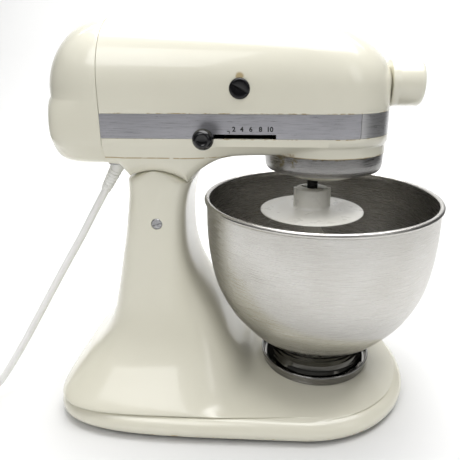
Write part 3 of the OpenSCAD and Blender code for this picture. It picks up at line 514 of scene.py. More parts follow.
def cylinder(radius, low, high, sides=64):
    ring = [(radius * math.cos(a), radius * math.sin(a))
            for a in np.linspace(0, 2 * math.pi, sides, endpoint=False)]
    return loft([[(x, y, z) for x, y in ring] for z in (low, high)])


ALONG_X = Matrix.Rotation(math.radians(90), 4, "Y")
TO_FRONT = Matrix.Rotation(math.radians(90), 4, "X")
TO_BACK = Matrix.Rotation(math.radians(-90), 4, "X")


def bare(name, shape):
    """A mesh object of one or more closed solids, with its faces turned outward."""
    points, faces = shape
    mesh = bpy.data.meshes.new(name)
    mesh.from_pydata([tuple(p) for p in placed(points)], [], faces)
    work = bmesh.new()
    work.from_mesh(mesh)
    bmesh.ops.remove_doubles(work, verts=work.verts, dist=1e-6)
    bmesh.ops.dissolve_degenerate(work, dist=1e-7, edges=work.edges)
    bmesh.ops.recalc_face_normals(work, faces=work.faces)
    work.to_mesh(mesh)
    work.free()
    obj = bpy.data.objects.new(name, mesh)
    SCENE.collection.objects.link(obj)
    return obj


def baked(obj):
    """Turns the object's modifiers into its mesh."""
    graph = bpy.context.evaluated_depsgraph_get()
    mesh = bpy.data.meshes.new_from_object(obj.evaluated_get(graph))
    old = obj.data
    obj.modifiers.clear()
    obj.data = mesh
    bpy.data.meshes.remove(old)
    return obj


def carved(obj, shapes, operation="DIFFERENCE"):
    """Cuts the shapes out of obj, or joins them to it."""
    cutters = [bare(f"{obj.name}_cut", shape) for shape in shapes]
    for cutter in cutters:
        cut = obj.modifiers.new("cut", "BOOLEAN")
        cut.operation, cut.solver, cut.object = operation, "EXACT", cutter
    baked(obj)
    for cutter in cutters:
        bpy.data.objects.remove(cutter)
    return obj


def piece(obj, body, slot, replaces=(), sharp=32, bevel=0.0, look=None):
    """Finishes a piece: its edges, its material, its body and what it stands for."""
    obj = bare(*obj) if isinstance(obj, tuple) else obj
    if bevel:
        edge = obj.modifiers.new("edge", "BEVEL")
        edge.width, edge.segments, edge.limit_method = bevel * MM, 2, "ANGLE"
        edge.angle_limit = math.radians(40)
        baked(obj)
    obj.data.shade_smooth()
    obj.data.set_sharp_from_angle(angle=math.radians(sharp))
    obj.data.materials.clear()
    obj.data.materials.append(look or LOOKS[slot])
    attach(obj, body)
    if replaces:
        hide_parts(*replaces)
    return obj


# ---------- mains lead ----------

CORD_D = 0.007
RELIEF_LEN = 0.026
ENTRY = np.array([-0.1845, -0.026, 0.229])
EXIT_DIR = np.array([-14.0, -2.0, -25.0]) / np.linalg.norm([14.0, 2.0, 25.0])
RELIEF_END = ENTRY + RELIEF_LEN * EXIT_DIR
CORD_ROUTE = [
    RELIEF_END, RELIEF_END + 0.009 * EXIT_DIR, (-0.211, -0.031, 0.182), (-0.222, -0.035, 0.162),
    (-0.233, -0.040, 0.143), (-0.244, -0.044, 0.124), (-0.255, -0.047, 0.105), (-0.266, -0.050, 0.086),
    (-0.277, -0.053, 0.067), (-0.288, -0.056, 0.049), (-0.299, -0.059, 0.032), (-0.310, -0.062, 0.018),
    (-0.322, -0.066, 0.008), (-0.336, -0.0702, 0.0047), (-0.3513, -0.0745, 0.0045),
]
COIL_CENTER = np.array([-0.338, -0.118])
COIL_TURNS = 4
TAIL_ROUTE = [
    (-0.330, -0.1634, 0.0115), (-0.320, -0.1636, 0.0114), (-0.310, -0.1648, 0.0112), (-0.300, -0.1658, 0.011),
    (-0.290, -0.166, 0.011),
]
PLUG_AT = np.array([-290.0, -166.0, 11.0])


def coil_point(turn):
    """A point of the coil, turn counted from where the lead joins it: out and in on the counter,
    then in and out one layer up."""
    start_angle, end_angle = 107.0, 270.0
    whole = COIL_TURNS - 1 + (end_angle - start_angle) / 360
    inner, outer = 5.5 * CORD_D, 6.5 * CORD_D
    low, high = 0.0045, 0.0115
    inward = np.interp(turn, [0, 0.85, 1.25, 2.3, 2.7, whole], [outer, outer, inner, inner, outer, outer])
    level = np.interp(turn, [0, 1.7, 2.1, whole], [low, low, high, high])
    a = math.radians(start_angle + 360 * turn)
    return (COIL_CENTER[0] + inward * math.cos(a), COIL_CENTER[1] + inward * math.sin(a), level)


def make_cord():
    """The lead from the strain relief to the plug, in one length."""
    whole = COIL_TURNS - 1 + (270.0 - 107.0) / 360
    turns = [coil_point(t) for t in np.linspace(0, whole, int(whole * 72))[1:]]
    path = np.concatenate([curve(CORD_ROUTE, 8), turns, curve(TAIL_ROUTE, 4)[1:]])
    path[:, 0] += AXIS_X
    steps = np.concatenate([[0], np.cumsum(np.linalg.norm(np.diff(path, axis=0), axis=1))])
    length = steps[-1]
    points, faces = tube((path - (AXIS_X, 0, 0)) / MM, CORD_D / 2 / MM, 12)
    cord = bare("mains_lead", (points, faces))
    cord.data.shade_smooth()
    cord.data.materials.append(LOOKS["cord_white"])
    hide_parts("power_cord", "cord_coil")
    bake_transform(cord)
    return cord, path, length


# Along the plug: place and radius of its round tail, then place, half width, half height and
# squareness of its body
PLUG_TAIL = [(0, 4.2), (3, 4.8), (3.6, 4.1), (5.6, 4.5), (6.2, 5.5), (8.6, 5.9), (9.2, 5.0), (11, 5.4),
             (11.6, 6.5), (14.5, 6.9)]
PLUG_BODY = [(16.5, 9, 8.6, 2.6), (19, 11.2, 10.2, 3.4), (22, 11.8, 10.8, 4), (24, 11.2, 10.8, 4),
             (26, 11.0, 10.8, 4), (28, 11.2, 10.8, 4), (31, 11.9, 10.9, 4.4), (36.6, 11.9, 10.9, 5),
             (38, 11.2, 10.2, 5)]


def make_plug():
    """A moulded plug: ribbed tail, square body with rounded corners and finger grooves, prongs."""
    def body_ring(x, half_y, half_z, power):
        ring = []
        for a in np.linspace(0, 2 * math.pi, 48, endpoint=False):
            c, s = (math.copysign(abs(v) ** (2 / power), v) for v in (math.cos(a), math.sin(a)))
            ring.append((x, half_y * c, half_z * s))
        return ring

    rings = [body_ring(x, r, r, 2) for x, r in PLUG_TAIL] + [body_ring(*row) for row in PLUG_BODY]
    plug = piece(("plug_body", moved(loft(rings), offset=PLUG_AT)), "stand", "cord_white", ["power_plug"], 50)
    blades = [box((37.5, y - 0.75, -3.2), (55, y + 0.75, 3.2)) for y in (-6.4, 6.4)]
    ground = moved(cylinder(2.4, 37.5, 58, 24), ALONG_X, (0, 0, 7))
    prongs = piece(("plug_prongs", moved(joined(*blades, ground), offset=PLUG_AT)), "stand", "steel",
                   bevel=0.3, look=PRONG_METAL)
    return plug, prongs


def make_ties():
    """Two soft straps round the coil."""
    half = 7.0
    outline = rounded([(-half - 0.95, -7.9), (half + 0.95, -7.9), (half + 0.95, 8), (-half - 0.95, 8)], 3, 5)
    inner = rounded([(-half - 0.1, -7.2), (half + 0.1, -7.2), (half + 0.1, 7.2), (-half - 0.1, 7.2)], 2.6, 5)
    straps = []
    for angle in (-20, 200):
        rings = []
        for y in (-4, 4):
            rings.append([(6 * CORD_D / MM + x, y, 8.05 + z) for x, z in outline])
        for y in (4, -4):
            rings.append([(6 * CORD_D / MM + x, y, 8.05 + z) for x, z in inner])
        turn = Matrix.Rotation(math.radians(angle), 4, "Z")
        straps.append(moved(loft(rings, closed=True), turn, (*(COIL_CENTER / MM), 0)))
    return piece(("coil_straps", joined(*straps)), "stand", "black_plastic", ["cord_ties"], 40)


def make_relief():
    """The strain relief: a domed root, then a taper with rings cut into it."""
    length = RELIEF_LEN / MM
    profile = [(0, 0), (6.0, 0), (6.0, 2.5)]
    rib, count = 3.0, 7
    for i in range(count):
        z = 3.2 + i * rib
        wide = np.interp(z, [0, length], [6.0, 4.6])
        profile += [(wide, z), (wide - 0.1, z + 1.7), (wide - 0.95, z + 2.0), (wide - 1.0, z + 2.7)]
    profile += [(4.6, length - 1.4), (4.3, length), (0, length)]
    way = Vector(EXIT_DIR)
    turn = Vector((0, 0, 1)).rotation_difference(way).to_matrix().to_4x4()
    sleeve = bare("strain_relief_sleeve", moved(lathe(profile, 40), turn, ENTRY / MM))
    root = [(6.15 * math.cos(a), 6.15 * math.sin(a)) for a in np.radians(np.arange(-90, 1, 9))]
    root[0] = (0, -6.15)
    neck = moved(cylinder(4, 2, 14, 40), offset=ENTRY / MM)
    carved(sleeve, [moved(lathe([*root, (6.15, 3.1), (0, 3.1)], 48), offset=ENTRY / MM), neck], "UNION")
    carved(sleeve, [box((-192, -34, 232.15), (SEAM_X + 0.1, -18, 250))])
    return piece(sleeve, "head", "cord_white", ["strain_relief"], 40)


cord, cord_path, cord_length = make_cord()
plug_body, plug_prongs = make_plug()
coil_straps = make_ties()
relief = make_relief()


# ---------- stand ----------

# Level, rear, front and half width of the outline, where its widest point lies, and how square
# its rear and front are
STAND = [
    (4, -243, 84, 103, -20, 4.6, 2.1),
    (6, -246, 87, 106, -20, 4.8, 2.1),
    (10, -247, 88.5, 107.5, -20, 5, 2.1),
    (14, -247, 87.5, 106.5, -20, 5, 2.1),
    (18, -246.4, 82, 104, -20, 5, 2.1),
    (20.5, -245.8, 74, 100.5, -22, 5, 2.1),
    (22, -245.4, 62, 96, -25, 5, 2.2),
    (22.4, -245.2, -60, 102, -125, 5, 2.6),
    (25, -244.5, -61.5, 100, -130, 5, 2.6),
    (30, -241, -65, 95, -135, 4.6, 2.7),
    (37, -236, -70, 88.5, -140, 4.2, 2.8),
    (46, -229, -76, 81, -145, 4, 3),
    (58, -216.5, -83, 72, -148, 3.8, 3.2),
    (72, -206, -90, 64, -150, 3.6, 3.5),
    (87, -199.3, -97.6, 58.5, -152, 3.5, 3.8),
    (104, -195, -107, 54, -153, 3.5, 4),
    (124, -191, -117, 50.5, -154, 3.5, 4.2),
    (145, -186.8, -123, 48, -154, 3.6, 4.4),
    (165, -182.4, -124.8, 46.5, -153, 3.8, 4.6),
    (185, -179, -124.3, 45.5, -152, 4, 4.8),
    (204, -176.5, -121, 45, -150, 4, 5),
    (230, -176, -112, 45, -148, 4, 5),
]
FLAT_ROW = 6
SADDLE_R = 47.5
STAND_WALL = 4
STAND_POINTS = 176
FEET = ((55, 50), (55, -50), (-215, 75), (-215, -75), (-90, 80), (-90, -80))
FOOT_H = 4
CLAMP_SCREW_R = 34


def stand_row(z):
    if row_of(STAND, z) != FLAT_ROW:
        return smooth_row(STAND, z)
    low, high = np.array(STAND[FLAT_ROW], float), np.array(STAND[FLAT_ROW + 1], float)
    return low + (high - low) * (z - low[0]) / (high[0] - low[0])


def stand_ring(z, level, inset):
    row = stand_row(z)
    chord = math.sqrt(max(3, SADDLE_R**2 - max(z - HINGE[2], 0) ** 2)) if z > 205 else 999
    rear = max(row[1], HINGE[0] - chord) + inset
    front = min(row[2], HINGE[0] + chord) - inset
    half = row[3] - inset
    middle = min(max(row[4], rear + 1), front - 1)
    ring = []
    for k in range(STAND_POINTS):
        a = -2 * math.pi * (k + 0.5) / STAND_POINTS
        c, s = math.cos(a), math.sin(a)
        power, reach = (row[5], middle - rear) if c < 0 else (row[6], front - middle)
        ring.append((
            middle + reach * math.copysign(abs(c) ** (2 / power), c),
            half * math.copysign(abs(s) ** (2 / power), s),
            level,
        ))
    return ring


def make_stand():
    flat_low, flat_high = STAND[FLAT_ROW][0], STAND[FLAT_ROW + 1][0]
    edge = [4, 4.6, 5.2, 6, 7, 8.5, 10, 12, 14, 15.5, 17, 18, 19, 20, 20.6, 21.1, 21.5, 21.8]
    flat = list(np.linspace(flat_low, flat_high, 26))
    column = [23, 24, 25.5, 27, *np.arange(29, 60, 2.5), *np.arange(62, 204, 5)]
    saddle = [HINGE[2] + SADDLE_R * math.sin(math.radians(a)) for a in range(31, 88, 3)] + [227.45]
    levels = edge + flat + column + saddle
    outside = np.array([stand_ring(z, z, 0) for z in levels])
    first = len(edge) + 6
    last = len(edge) + len(flat) + 14
    outside = smoothed(outside, first, last, 40)
    inside = [stand_ring(z + STAND_WALL, z, STAND_WALL)
              for z in (140, 120, 100, 83, 68, 54, 42, 33, 26, 21, 18.4, 18, 16.5, 14, 8, 4)]
    rings = inside + list(outside)
    stand = bare("stand_shell", loft(rings))
    pads = [moved(cylinder(9, FOOT_H, 19.4, 40), offset=(x, y, 0)) for x, y in FEET]
    carved(stand, pads, "UNION")
    slot_points = [(0, 0)] + [(62 * math.cos(a), 62 * math.sin(a)) for a in np.radians(np.arange(78, 153, 6))]
    slot = loft([[(HINGE[0] + x, y, HINGE[2] + z) for x, z in slot_points] for y in (-25, 25)])
    bore = moved(cylinder(22, -25, 25, 72), TO_FRONT, HINGE)
    pin = moved(cylinder(5, -60, 60, 48), TO_FRONT, HINGE)
    screws = [moved(cylinder(2, 10, 30, 24), offset=CLAMP_SCREW_R * np.array((math.cos(a), math.sin(a), 0)))
              for a in np.radians((30, 150, 270))]
    carved(stand, [slot, bore, pin, *screws])
    return piece(stand, "stand", "cream_paint", ["stand_casting"], 38, look=STAND_PAINT)


def make_feet():
    foot = lathe(rounded([(0, 0), (9, 0), (10.5, 1.5), (10.5, FOOT_H), (0, FOOT_H)], 0.6), 40)
    shape = joined(*[moved(foot, offset=(x, y, 0)) for x, y in FEET])
    return piece(("stand_feet", shape), "stand", "foot_rubber", ["rubber_feet"], 40)


def make_hinge_pin():
    """The pin's two ends are domed and slotted."""
    half = 46
    profile = [(0, -half), (4.2, -half), (5, -half + 0.8), (5, half - 0.8), (4.2, half), (0, half)]
    pin = bare("tilt_pin", moved(lathe(profile, 48), TO_FRONT, HINGE))
    slots = []
    for side in (-1, 1):
        slanted = Matrix.Rotation(math.radians(20), 4, "Z")
        slot = moved(box((-6, -0.6, -1), (6, 0.6, 1)), slanted, (0, 0, side * half))
        slots.append(moved(slot, TO_FRONT, HINGE))
    carved(pin, slots)
    return piece(pin, "stand", "steel", ["hinge_pin"], 32)


CLAMP_Z = 22.5


def make_clamp():
    """The plate's ring flares up round the bowl's foot, with four catches inside."""
    profile = rounded([
        (8, CLAMP_Z), (54, CLAMP_Z), (54.2, 26), (55.4, 30.4), (55, 31.6), (54, 31.8),
        (53, 31), (52.2, 26.4), (52, CLAMP_Z + 1.8), (8, CLAMP_Z + 1.8),
    ], 0.5)
    plate = bare("clamp_ring", lathe(profile, 144))
    catches = [lathe([(50.4, 28.6), (53.2, 28.6), (53.4, 30), (50.4, 30)], 13, a + 30, 30)
               for a in (0, 90, 180, 270)]
    carved(plate, catches, "UNION")
    return piece(plate, "stand", "clamp_chrome", ["bowl_clamp_plate"], 40)


# ---------- bowl ----------

BOWL_SIDE = [(108.4, 190), (108.4, 166), (106.4, 141), (101, 115), (90, 91), (77.5, 74.5), (68.5, 64.5),
             (58, 56.8), (47, 50.5)]
BOWL_BOTTOM = 50.5
SHEET = 1.2
RIM_R, RIM_Z, RIM_ROLL = 110.5, 197, 2.4


def make_bowl():
    """Spun sheet with a rolled wire edge, as one outline turned round the axis."""
    outside = curve(BOWL_SIDE, 8)
    way = np.gradient(outside, axis=0)
    way /= np.linalg.norm(way, axis=1)[:, None]
    inside = outside + SHEET * np.column_stack([way[:, 1], -way[:, 0]])
    inside[:, 1] = np.minimum(inside[:, 1], 190)
    roll = [(RIM_R - RIM_ROLL + RIM_ROLL * math.cos(a), RIM_Z - RIM_ROLL + RIM_ROLL * math.sin(a))
            for a in np.radians(np.linspace(200, -84, 22))]
    outline = [(0, BOWL_BOTTOM + SHEET), *inside[::-1], (107.2, 192.4), *roll, (108.4, 191.2), *outside,
               (0, BOWL_BOTTOM)]
    return piece(("bowl_shell", lathe(outline, 192)), "bowl", "bowl_steel", ["mixing_bowl"], 50)


def make_bowl_foot():
    seat = 24.6
    profile = rounded([
        (41, seat), (49.4, seat), (49.8, seat + 1.6), (48.8, 29), (46.8, 32.5), (45.4, 37), (45.2, 41.5),
        (45.8, 46),
        (47, BOWL_BOTTOM), (43, BOWL_BOTTOM), (41.6, 44), (41, 36),
    ], 0.9)
    foot = bare("bowl_base_ring", lathe(profile, 144))
    lugs = [lathe([(48, seat + 0.4), (51, seat + 1.2), (51, seat + 2.6), (48.2, seat + 2.6)], 13, a + 33, 24)
            for a in (0, 90, 180, 270)]
    carved(foot, lugs, "UNION")
    return piece(foot, "bowl", "foot_chrome", ["bowl_foot"], 40)


# ---------- head castings ----------

CROWN_R, HEAD_R, WALL = 56.4, 56, 3
CROWN_START, CROWN_LEN, CROWN_POWER = -20, 78, 1.7
NOSE_END = 54.2
NECK_GAP = 0.5
CASE_R = 54.5
LIP_Z = BAND_LOW - 0.2
REBATE = 1.2
ARM = [
    (-187, 233.4, 44), (-177, 232.6, 45), (-172, 227.2, 46), (-168.6, 223.4, 46),
    (-119.4, 218.6, 46), (-112, 225.8, 45), (-105, 231, 43.5), (-98, 235, 42), (-90, 237.8, 40.5),
    (-78, 239.8, 39), (-58, 240.5, 38.5), (0, 240.5, 38.5),
]
NECK_BACK, NECK_FRONT = -168.7, -119.3


def crown_at(x):
    share = max(0, (x - CROWN_START) / CROWN_LEN)
    return CROWN_R * (1 - share**CROWN_POWER) ** (1 / CROWN_POWER)


def half_width(x, radius=HEAD_R):
    return radius if x < 0 else math.sqrt(max(0, radius**2 - x**2))


def arch(x, inset):
    half, crown = half_width(x) - inset, crown_at(x) - inset
    low = BAND_TOP + 0.2
    side = [(-half, z) for z in np.linspace(low, MOTOR_Z, 6)[:-1]]
    top = [(-half * math.cos(a), MOTOR_Z + crown * math.sin(a)) for a in np.linspace(0, math.pi, 73)]
    return [(x, y, z) for y, z in side + top + [(-y, z) for y, z in side[::-1]]]


def make_upper():
    nose = [HEAD_R * math.sin(math.radians(a)) for a in np.arange(3, 75, 2.5)] + [NOSE_END]
    stations = [SEAM_X + 0.25, -186, *np.arange(-180, 1, 6), *nose]
    rings = [arch(x, 0) + arch(x, WALL)[::-1] for x in stations]
    housing = bare("head_top", loft(rings, ends="strips"))
    holes = [moved(cylinder(8.3, 0, 12, 64), turn, (-73.3, side * 48, MOTOR_Z - 1))
             for side, turn in ((-1, TO_FRONT), (1, TO_BACK))]
    carved(housing, holes)
    return piece(housing, "head", "cream_paint", ["upper_housing"], 40, 0.35)


def arm_row(x):
    if NECK_BACK < x < NECK_FRONT:
        return HINGE[2] + math.sqrt((SADDLE_R + NECK_GAP) ** 2 - (x - HINGE[0]) ** 2), 46
    part = ARM[:4] if x < HINGE[0] else ARM[4:]
    row = smooth_row(part, x)
    return row[1], row[2]


def arm_side(x, inset):
    """Half of the arm's outline, from the rebate behind the band down to the keel."""
    low, foot = arm_row(x)
    low, foot = low + inset * 1.1, foot - inset
    case = math.sqrt(max(0, (CASE_R - inset) ** 2 - x**2))
    full = half_width(max(0, x), HEAD_R - inset)
    rim = half_width(max(0, x), HEAD_R - REBATE - inset)
    lip = LIP_Z - inset
    head = [(rim, BAND_TOP), (rim, lip), (full, lip), (full, lip - 1)]
    taper = [(max(full + (foot + 3 - full) * t, case), 251 + (low - 251) * t)
             for t in np.linspace(0, 0.86, 9)]
    keel = [(max(foot - 2, case), low), (foot - 6, low), (foot - 12, low)]
    return smoothed(head + taper + keel, 5, len(head + taper), 2)


def arm_ring(x, inset):
    side = arm_side(x, inset)
    return [(x, y, z) for y, z in side] + [(x, -y, z) for y, z in side[::-1]]


def nose_ring(turn, inset):
    """The nose carries the last outline round the bowl's axis."""
    return [(abs(y) * math.sin(turn), y * math.cos(turn), z) for _, y, z in arm_ring(0, inset)]


def make_lower():
    stations = [SEAM_X + 0.25, -186, -182, *np.arange(-178, -169, 1.5), -168.6,
                *np.arange(-167, -120, 3), -119.4,
                *np.arange(-118, -54, 2), *np.arange(-54, -1, 1.5)]
    turns = [*np.radians(np.arange(0, 88, 3)), math.radians(89.7)]
    rings = [arm_ring(x, 0) + arm_ring(x, WALL)[::-1] for x in stations]
    rings += [nose_ring(t, 0) + nose_ring(t, WALL)[::-1] for t in turns]
    housing = bare("head_base", loft(rings, ends="strips"))
    cutters = [
        moved(cylinder(9.1, CASE_LOW - 1, CASE_LOW + 5, 48)),
        box((-104, -60, LIP_Z), (-44, -48, LIP_Z + 3.9)),
        moved(cylinder(4.1, 40, 70, 32), TO_BACK, (LOCK[0], 0, LOCK[2])),
        moved(cylinder(4.05, 0, 14, 40), offset=ENTRY / MM),
    ]
    carved(housing, cutters)
    return piece(housing, "head", "cream_paint", ["lower_housing"], 40)


COVER_Z, COVER_LOW, COVER_DEPTH = 288, 233.4, 58


def cover_outline(inset):
    full, low = HEAD_R - inset, COVER_LOW + inset
    right = [(12, low - 0.4), (28, low - 0.1), (40, low + 0.6), (46.5 - inset, 237.5 + inset),
             (51 - inset * 0.9, 244), (full - 0.6, 252), (full, 264), (full, 276), (full, 288)]
    right = [tuple(p) for p in curve(right, 4)]
    right += [(full * math.cos(a), MOTOR_Z + (CROWN_R - inset) * math.sin(a))
              for a in np.radians(np.arange(0, 90, 4))]
    return right + [(0, MOTOR_Z + CROWN_R - inset)] + [(-y, z) for y, z in right[::-1]]


def cover_ring(t, inset, seam=SEAM_X):
    """The seam's outline drawn in towards a pole at the back, squarer low down than on top."""
    ring = []
    for y, z in cover_outline(inset):
        lowness = min(1, max(0, (COVER_Z - z) / 40))
        power = 2 + 2.5 * lowness
        scale = (1 - t**power) ** (1 / power)
        depth = (COVER_DEPTH - inset) - 6 * lowness * min(1, scale * 1.6) * t
        ring.append((seam - depth * t, y * scale, COVER_Z + (z - COVER_Z) * scale))
    return ring


def make_cover():
    steps = [math.sin(math.radians(a)) for a in np.arange(0, 87.1, 3)] + [0.9996]
    seam = SEAM_X - 0.25
    rings = [cover_ring(t, WALL, seam) for t in steps[::-1]] + [cover_ring(t, 0, seam) for t in steps]
    points, faces = loft(rings, ends="open")
    n = len(rings[0])
    last = len(points) - n
    faces += [(first, first + k, first + k + 1) for first in (0, last) for k in range(1, n - 1)]
    cover = bare("head_back_cover", (points, faces))
    return piece(cover, "head", "cream_paint", ["rear_cover"], 40, 0.35, COVER_PAINT)


def make_cover_screw():
    profile = [(0, 0), (3.4, 0), (4, 0.5), (4, 1.2), (0, 1.2)]
    end = (SEAM_X - COVER_DEPTH - 1.2, 0, COVER_Z)
    screw = bare("cover_screw_head", moved(lathe(profile, 40), ALONG_X, end))
    slot = box((SEAM_X - COVER_DEPTH - 3, -5, COVER_Z - 0.5), (SEAM_X - COVER_DEPTH - 0.7, 5, COVER_Z + 0.5))
    carved(screw, [slot])
    return piece(screw, "head", "steel", ["rear_cover_screw"])


def make_hub():
    """The round socket on the nose, with its bore, its flange and the thumb screw's hole."""
    front = 82.4
    profile = rounded([
        (0, 50), (9.2, 50), (9.2, 54.4), (20.6, 54.4), (20.3, 57), (19.4, 61), (19.4, 79.4), (18.4, 81.8),
        (16.6, front), (0, front),
    ], 1.1)
    hub = bare("hub_socket", moved(lathe(profile, 96), ALONG_X, (0, 0, HUB_Z)))
    cutters = [
        moved(cylinder(11.5, 60, 64.5, 64), ALONG_X, (0, 0, HUB_Z)),
        moved(cylinder(14.3, 64.4, 94.4, 96), ALONG_X, (0, 0, HUB_Z)),
        moved(cylinder(7.05, 40, 70, 48), ALONG_X, (0, 0, HUB_Z)),
        moved(cylinder(3.2, 0, 30, 32), TO_BACK, (70.5, 0, HUB_Z)),
    ]
    carved(hub, cutters)
    return piece(hub, "head", "cream_paint", ["hub_boss"], 40, 0.3)


def make_drip_ring():
    profile = rounded([
        (53.6, CASE_LOW), (53.5, 232), (53.2, 228.6), (52.6, 226), (51.4, 224.4), (49.8, 223.8), (48.6, 224.3),
        (48.6, 225.6), (50.2, 226), (51.4, 227.4), (51.8, 229), (51.9, 238.6), (51.2, 238.6), (51.2, CASE_LOW),
    ], 0.5)
    return piece(("drip_rim", lathe(profile, 160)), "head", "ring_metal", ["drip_ring"], 40)


# ---------- planetary and hook ----------

DOME_R, DOME_TOP = 39, 230.5


def make_planetary():
    profile = [(0, DOME_TOP), (DOME_R - 0.6, DOME_TOP), (DOME_R, DOME_TOP - 0.6)]
    profile += [(DOME_R * math.cos(a), 226 - 14 * math.sin(a)) for a in np.radians(np.arange(0, 91, 3))]
    profile[-1] = (0, 212)
    dome = bare("planetary_dome", lathe(profile, 128))
    cutters = [
        cylinder(6, 210, 240, 48),
        moved(cylinder(4.85, 200, 240, 40), offset=(BEATER[0], BEATER[1], 0)),
    ]
    carved(dome, cutters)
    return piece(dome, "planetary", "cream_paint", ["planetary_housing"], 40, 0.25)


HOOK_PATH = [
    (0, 0, 188), (0, 0, 176), (4, 3, 162), (15, 8, 148), (27, 8, 132), (32, -3, 115), (27, -19, 99),
    (12, -27, 87), (-8, -23, 78.5), (-19, -6, 72.5), (-14, 11, 67.5), (1, 15, 65.5),
]
DISC_Z, DISC_R, COLLAR_R, COLLAR_TOP = 189, 47.4, 15, 207.6


def make_hook():
    """Shield disc, collar with its pin slot, and the bar that winds down and round."""
    bar_path = curve(HOOK_PATH, 8)
    radii = np.interp(np.linspace(0, 1, len(bar_path)), [0, 0.96, 0.985, 1], [8.6, 5.2, 4.4, 2.2])
    profile = rounded([
        (0, DISC_Z - 2.6), (16, DISC_Z - 2.4), (DISC_R - 2, DISC_Z - 3.4), (DISC_R, DISC_Z - 2.6),
        (DISC_R - 0.8, DISC_Z - 1.6), (32, DISC_Z - 0.6), (20, DISC_Z), (COLLAR_R + 1.2, DISC_Z + 0.8),
        (COLLAR_R, DISC_Z + 2.8), (COLLAR_R, COLLAR_TOP - 0.6), (COLLAR_R - 0.8, COLLAR_TOP), (0, COLLAR_TOP),
    ], 0.8)
    hook = bare("hook_body", moved(lathe(profile, 128), offset=(BEATER[0], BEATER[1], 0)))
    carved(hook, [moved(tube(bar_path, radii, 24), offset=(BEATER[0], BEATER[1], 0))], "UNION")
    ribs = [moved(rib, offset=(BEATER[0], BEATER[1], 0)) for rib in (
        box((COLLAR_R - 1, -2.2, DISC_Z - 0.2), (COLLAR_R + 1.7, 2.2, COLLAR_TOP)),
        box((-COLLAR_R - 1.7, -2.2, DISC_Z - 0.2), (1 - COLLAR_R, 2.2, COLLAR_TOP)))]
    carved(hook, ribs, "UNION")
    slot = moved(box((-2, -11.5, 198.2), (2, 11.5, 212)), Matrix.Rotation(math.radians(60), 4, "Z"))
    cutters = [cylinder(4.85, 192, 222, 40), slot]
    carved(hook, [moved(c, offset=(BEATER[0], BEATER[1], 0)) for c in cutters])
    return piece(hook, "beater", "hook_plastic", ["dough_hook"], 40)


# ---------- controls and small pieces ----------

KNOB = (-100.6, -64, 259.8)


def make_speed_knob():
    """A black turned knob: waisted stem, swelling rim and a dished face."""
    profile = rounded([
        (0, 0), (4.6, 0), (4.4, 2.2), (5.4, 4.4), (7.6, 6.2), (8.4, 8.8), (8.3, 11.4), (7.2, 14.2), (5.6, 15.8),
        (4.2, 16.1), (3.0, 15.3), (0, 15.0),
    ], 1.0)
    return piece(("speed_knob_ball", moved(lathe(profile, 64), TO_FRONT, KNOB)), "speed_control",
                 "black_plastic", ["speed_knob"], 40)


def make_brush_caps():
    """Slotted caps that screw in over the motor's brushes, one on each side."""
    profile = rounded([(0, 50), (6.4, 50), (6.4, 53), (8.1, 53), (8.1, 56.4), (7.2, 57.2), (0, 57.2)], 0.5)
    place = (-73.3, 0, MOTOR_Z - 1)
    for side, turn in (("near", TO_FRONT), ("far", TO_BACK)):
        cap = bare(f"brush_cap_{side}", moved(lathe(profile, 56), turn, place))
        slot = moved(box((-9, -0.9, 55.6), (9, 0.9, 60)), Matrix.Rotation(math.radians(-25), 4, "Z"))
        carved(cap, [moved(slot, turn, place)])
        piece(cap, "head", "black_plastic", ["brush_caps"], 32, 0.3)


def make_lock_lever():
    outline = [(7 * math.cos(a), 7 * math.sin(a)) for a in np.radians(np.arange(60, 301, 12))]
    outline += [(30 + 5 * math.cos(a), 5 * math.sin(a)) for a in np.radians(np.arange(-80, 81, 10))]
    plate = loft([[(x, y, z) for x, y in outline] for z in (57.2, 60.8)])
    place = (LOCK[0], 0, LOCK[2])
    lever = bare("lock_lever_arm", moved(plate, TO_BACK, place))
    knob = lathe(rounded([(0, 57.3), (5, 57.3), (5, 63), (4, 63.6), (0, 63.6)], 0.6), 40)
    collar = lathe(rounded([(0, 38), (5, 38), (5, 42), (0, 42)], 0.5), 40)
    parts = [cylinder(4, 40, 58, 40), collar, moved(knob, offset=(30, 0, 0))]
    carved(lever, [moved(p, TO_BACK, place) for p in parts], "UNION")
    return piece(lever, "head_lock", "black_plastic", ["lock_lever"], 40)


def make_thumb_screw():
    """The hub's thumb screw: a fluted black head on a short steel-hard stem."""
    flutes, steps = 10, 12
    ring = []
    for k in range(flutes * steps):
        a = 2 * math.pi * k / (flutes * steps)
        ring.append((a, 9.6 - 1.0 * max(0, math.cos(flutes * a)) ** 3))
    rings = []
    for z, shrink in ((20, 1.2), (20.6, 0.5), (21.6, 0), (31, 0), (32.2, 0.5), (33, 1.6)):
        rings.append([((r - shrink) * math.cos(a), (r - shrink) * math.sin(a), z) for a, r in ring])
    head = loft(rings)
    stem = cylinder(3, 14.7, 22, 32)
    screw = bare("hub_thumb_screw", moved(head, TO_BACK, (70.5, 0, HUB_Z)))
    carved(screw, [moved(stem, TO_BACK, (70.5, 0, HUB_Z))], "UNION")
    return piece(screw, "hub_screw", "black_plastic", ["attachment_knob"], 40)


NUMERAL_H = 3.9
NUMERALS = {"2": -78.0, "4": -71.6, "6": -64.4, "8": -56.6, "10": -49.1}


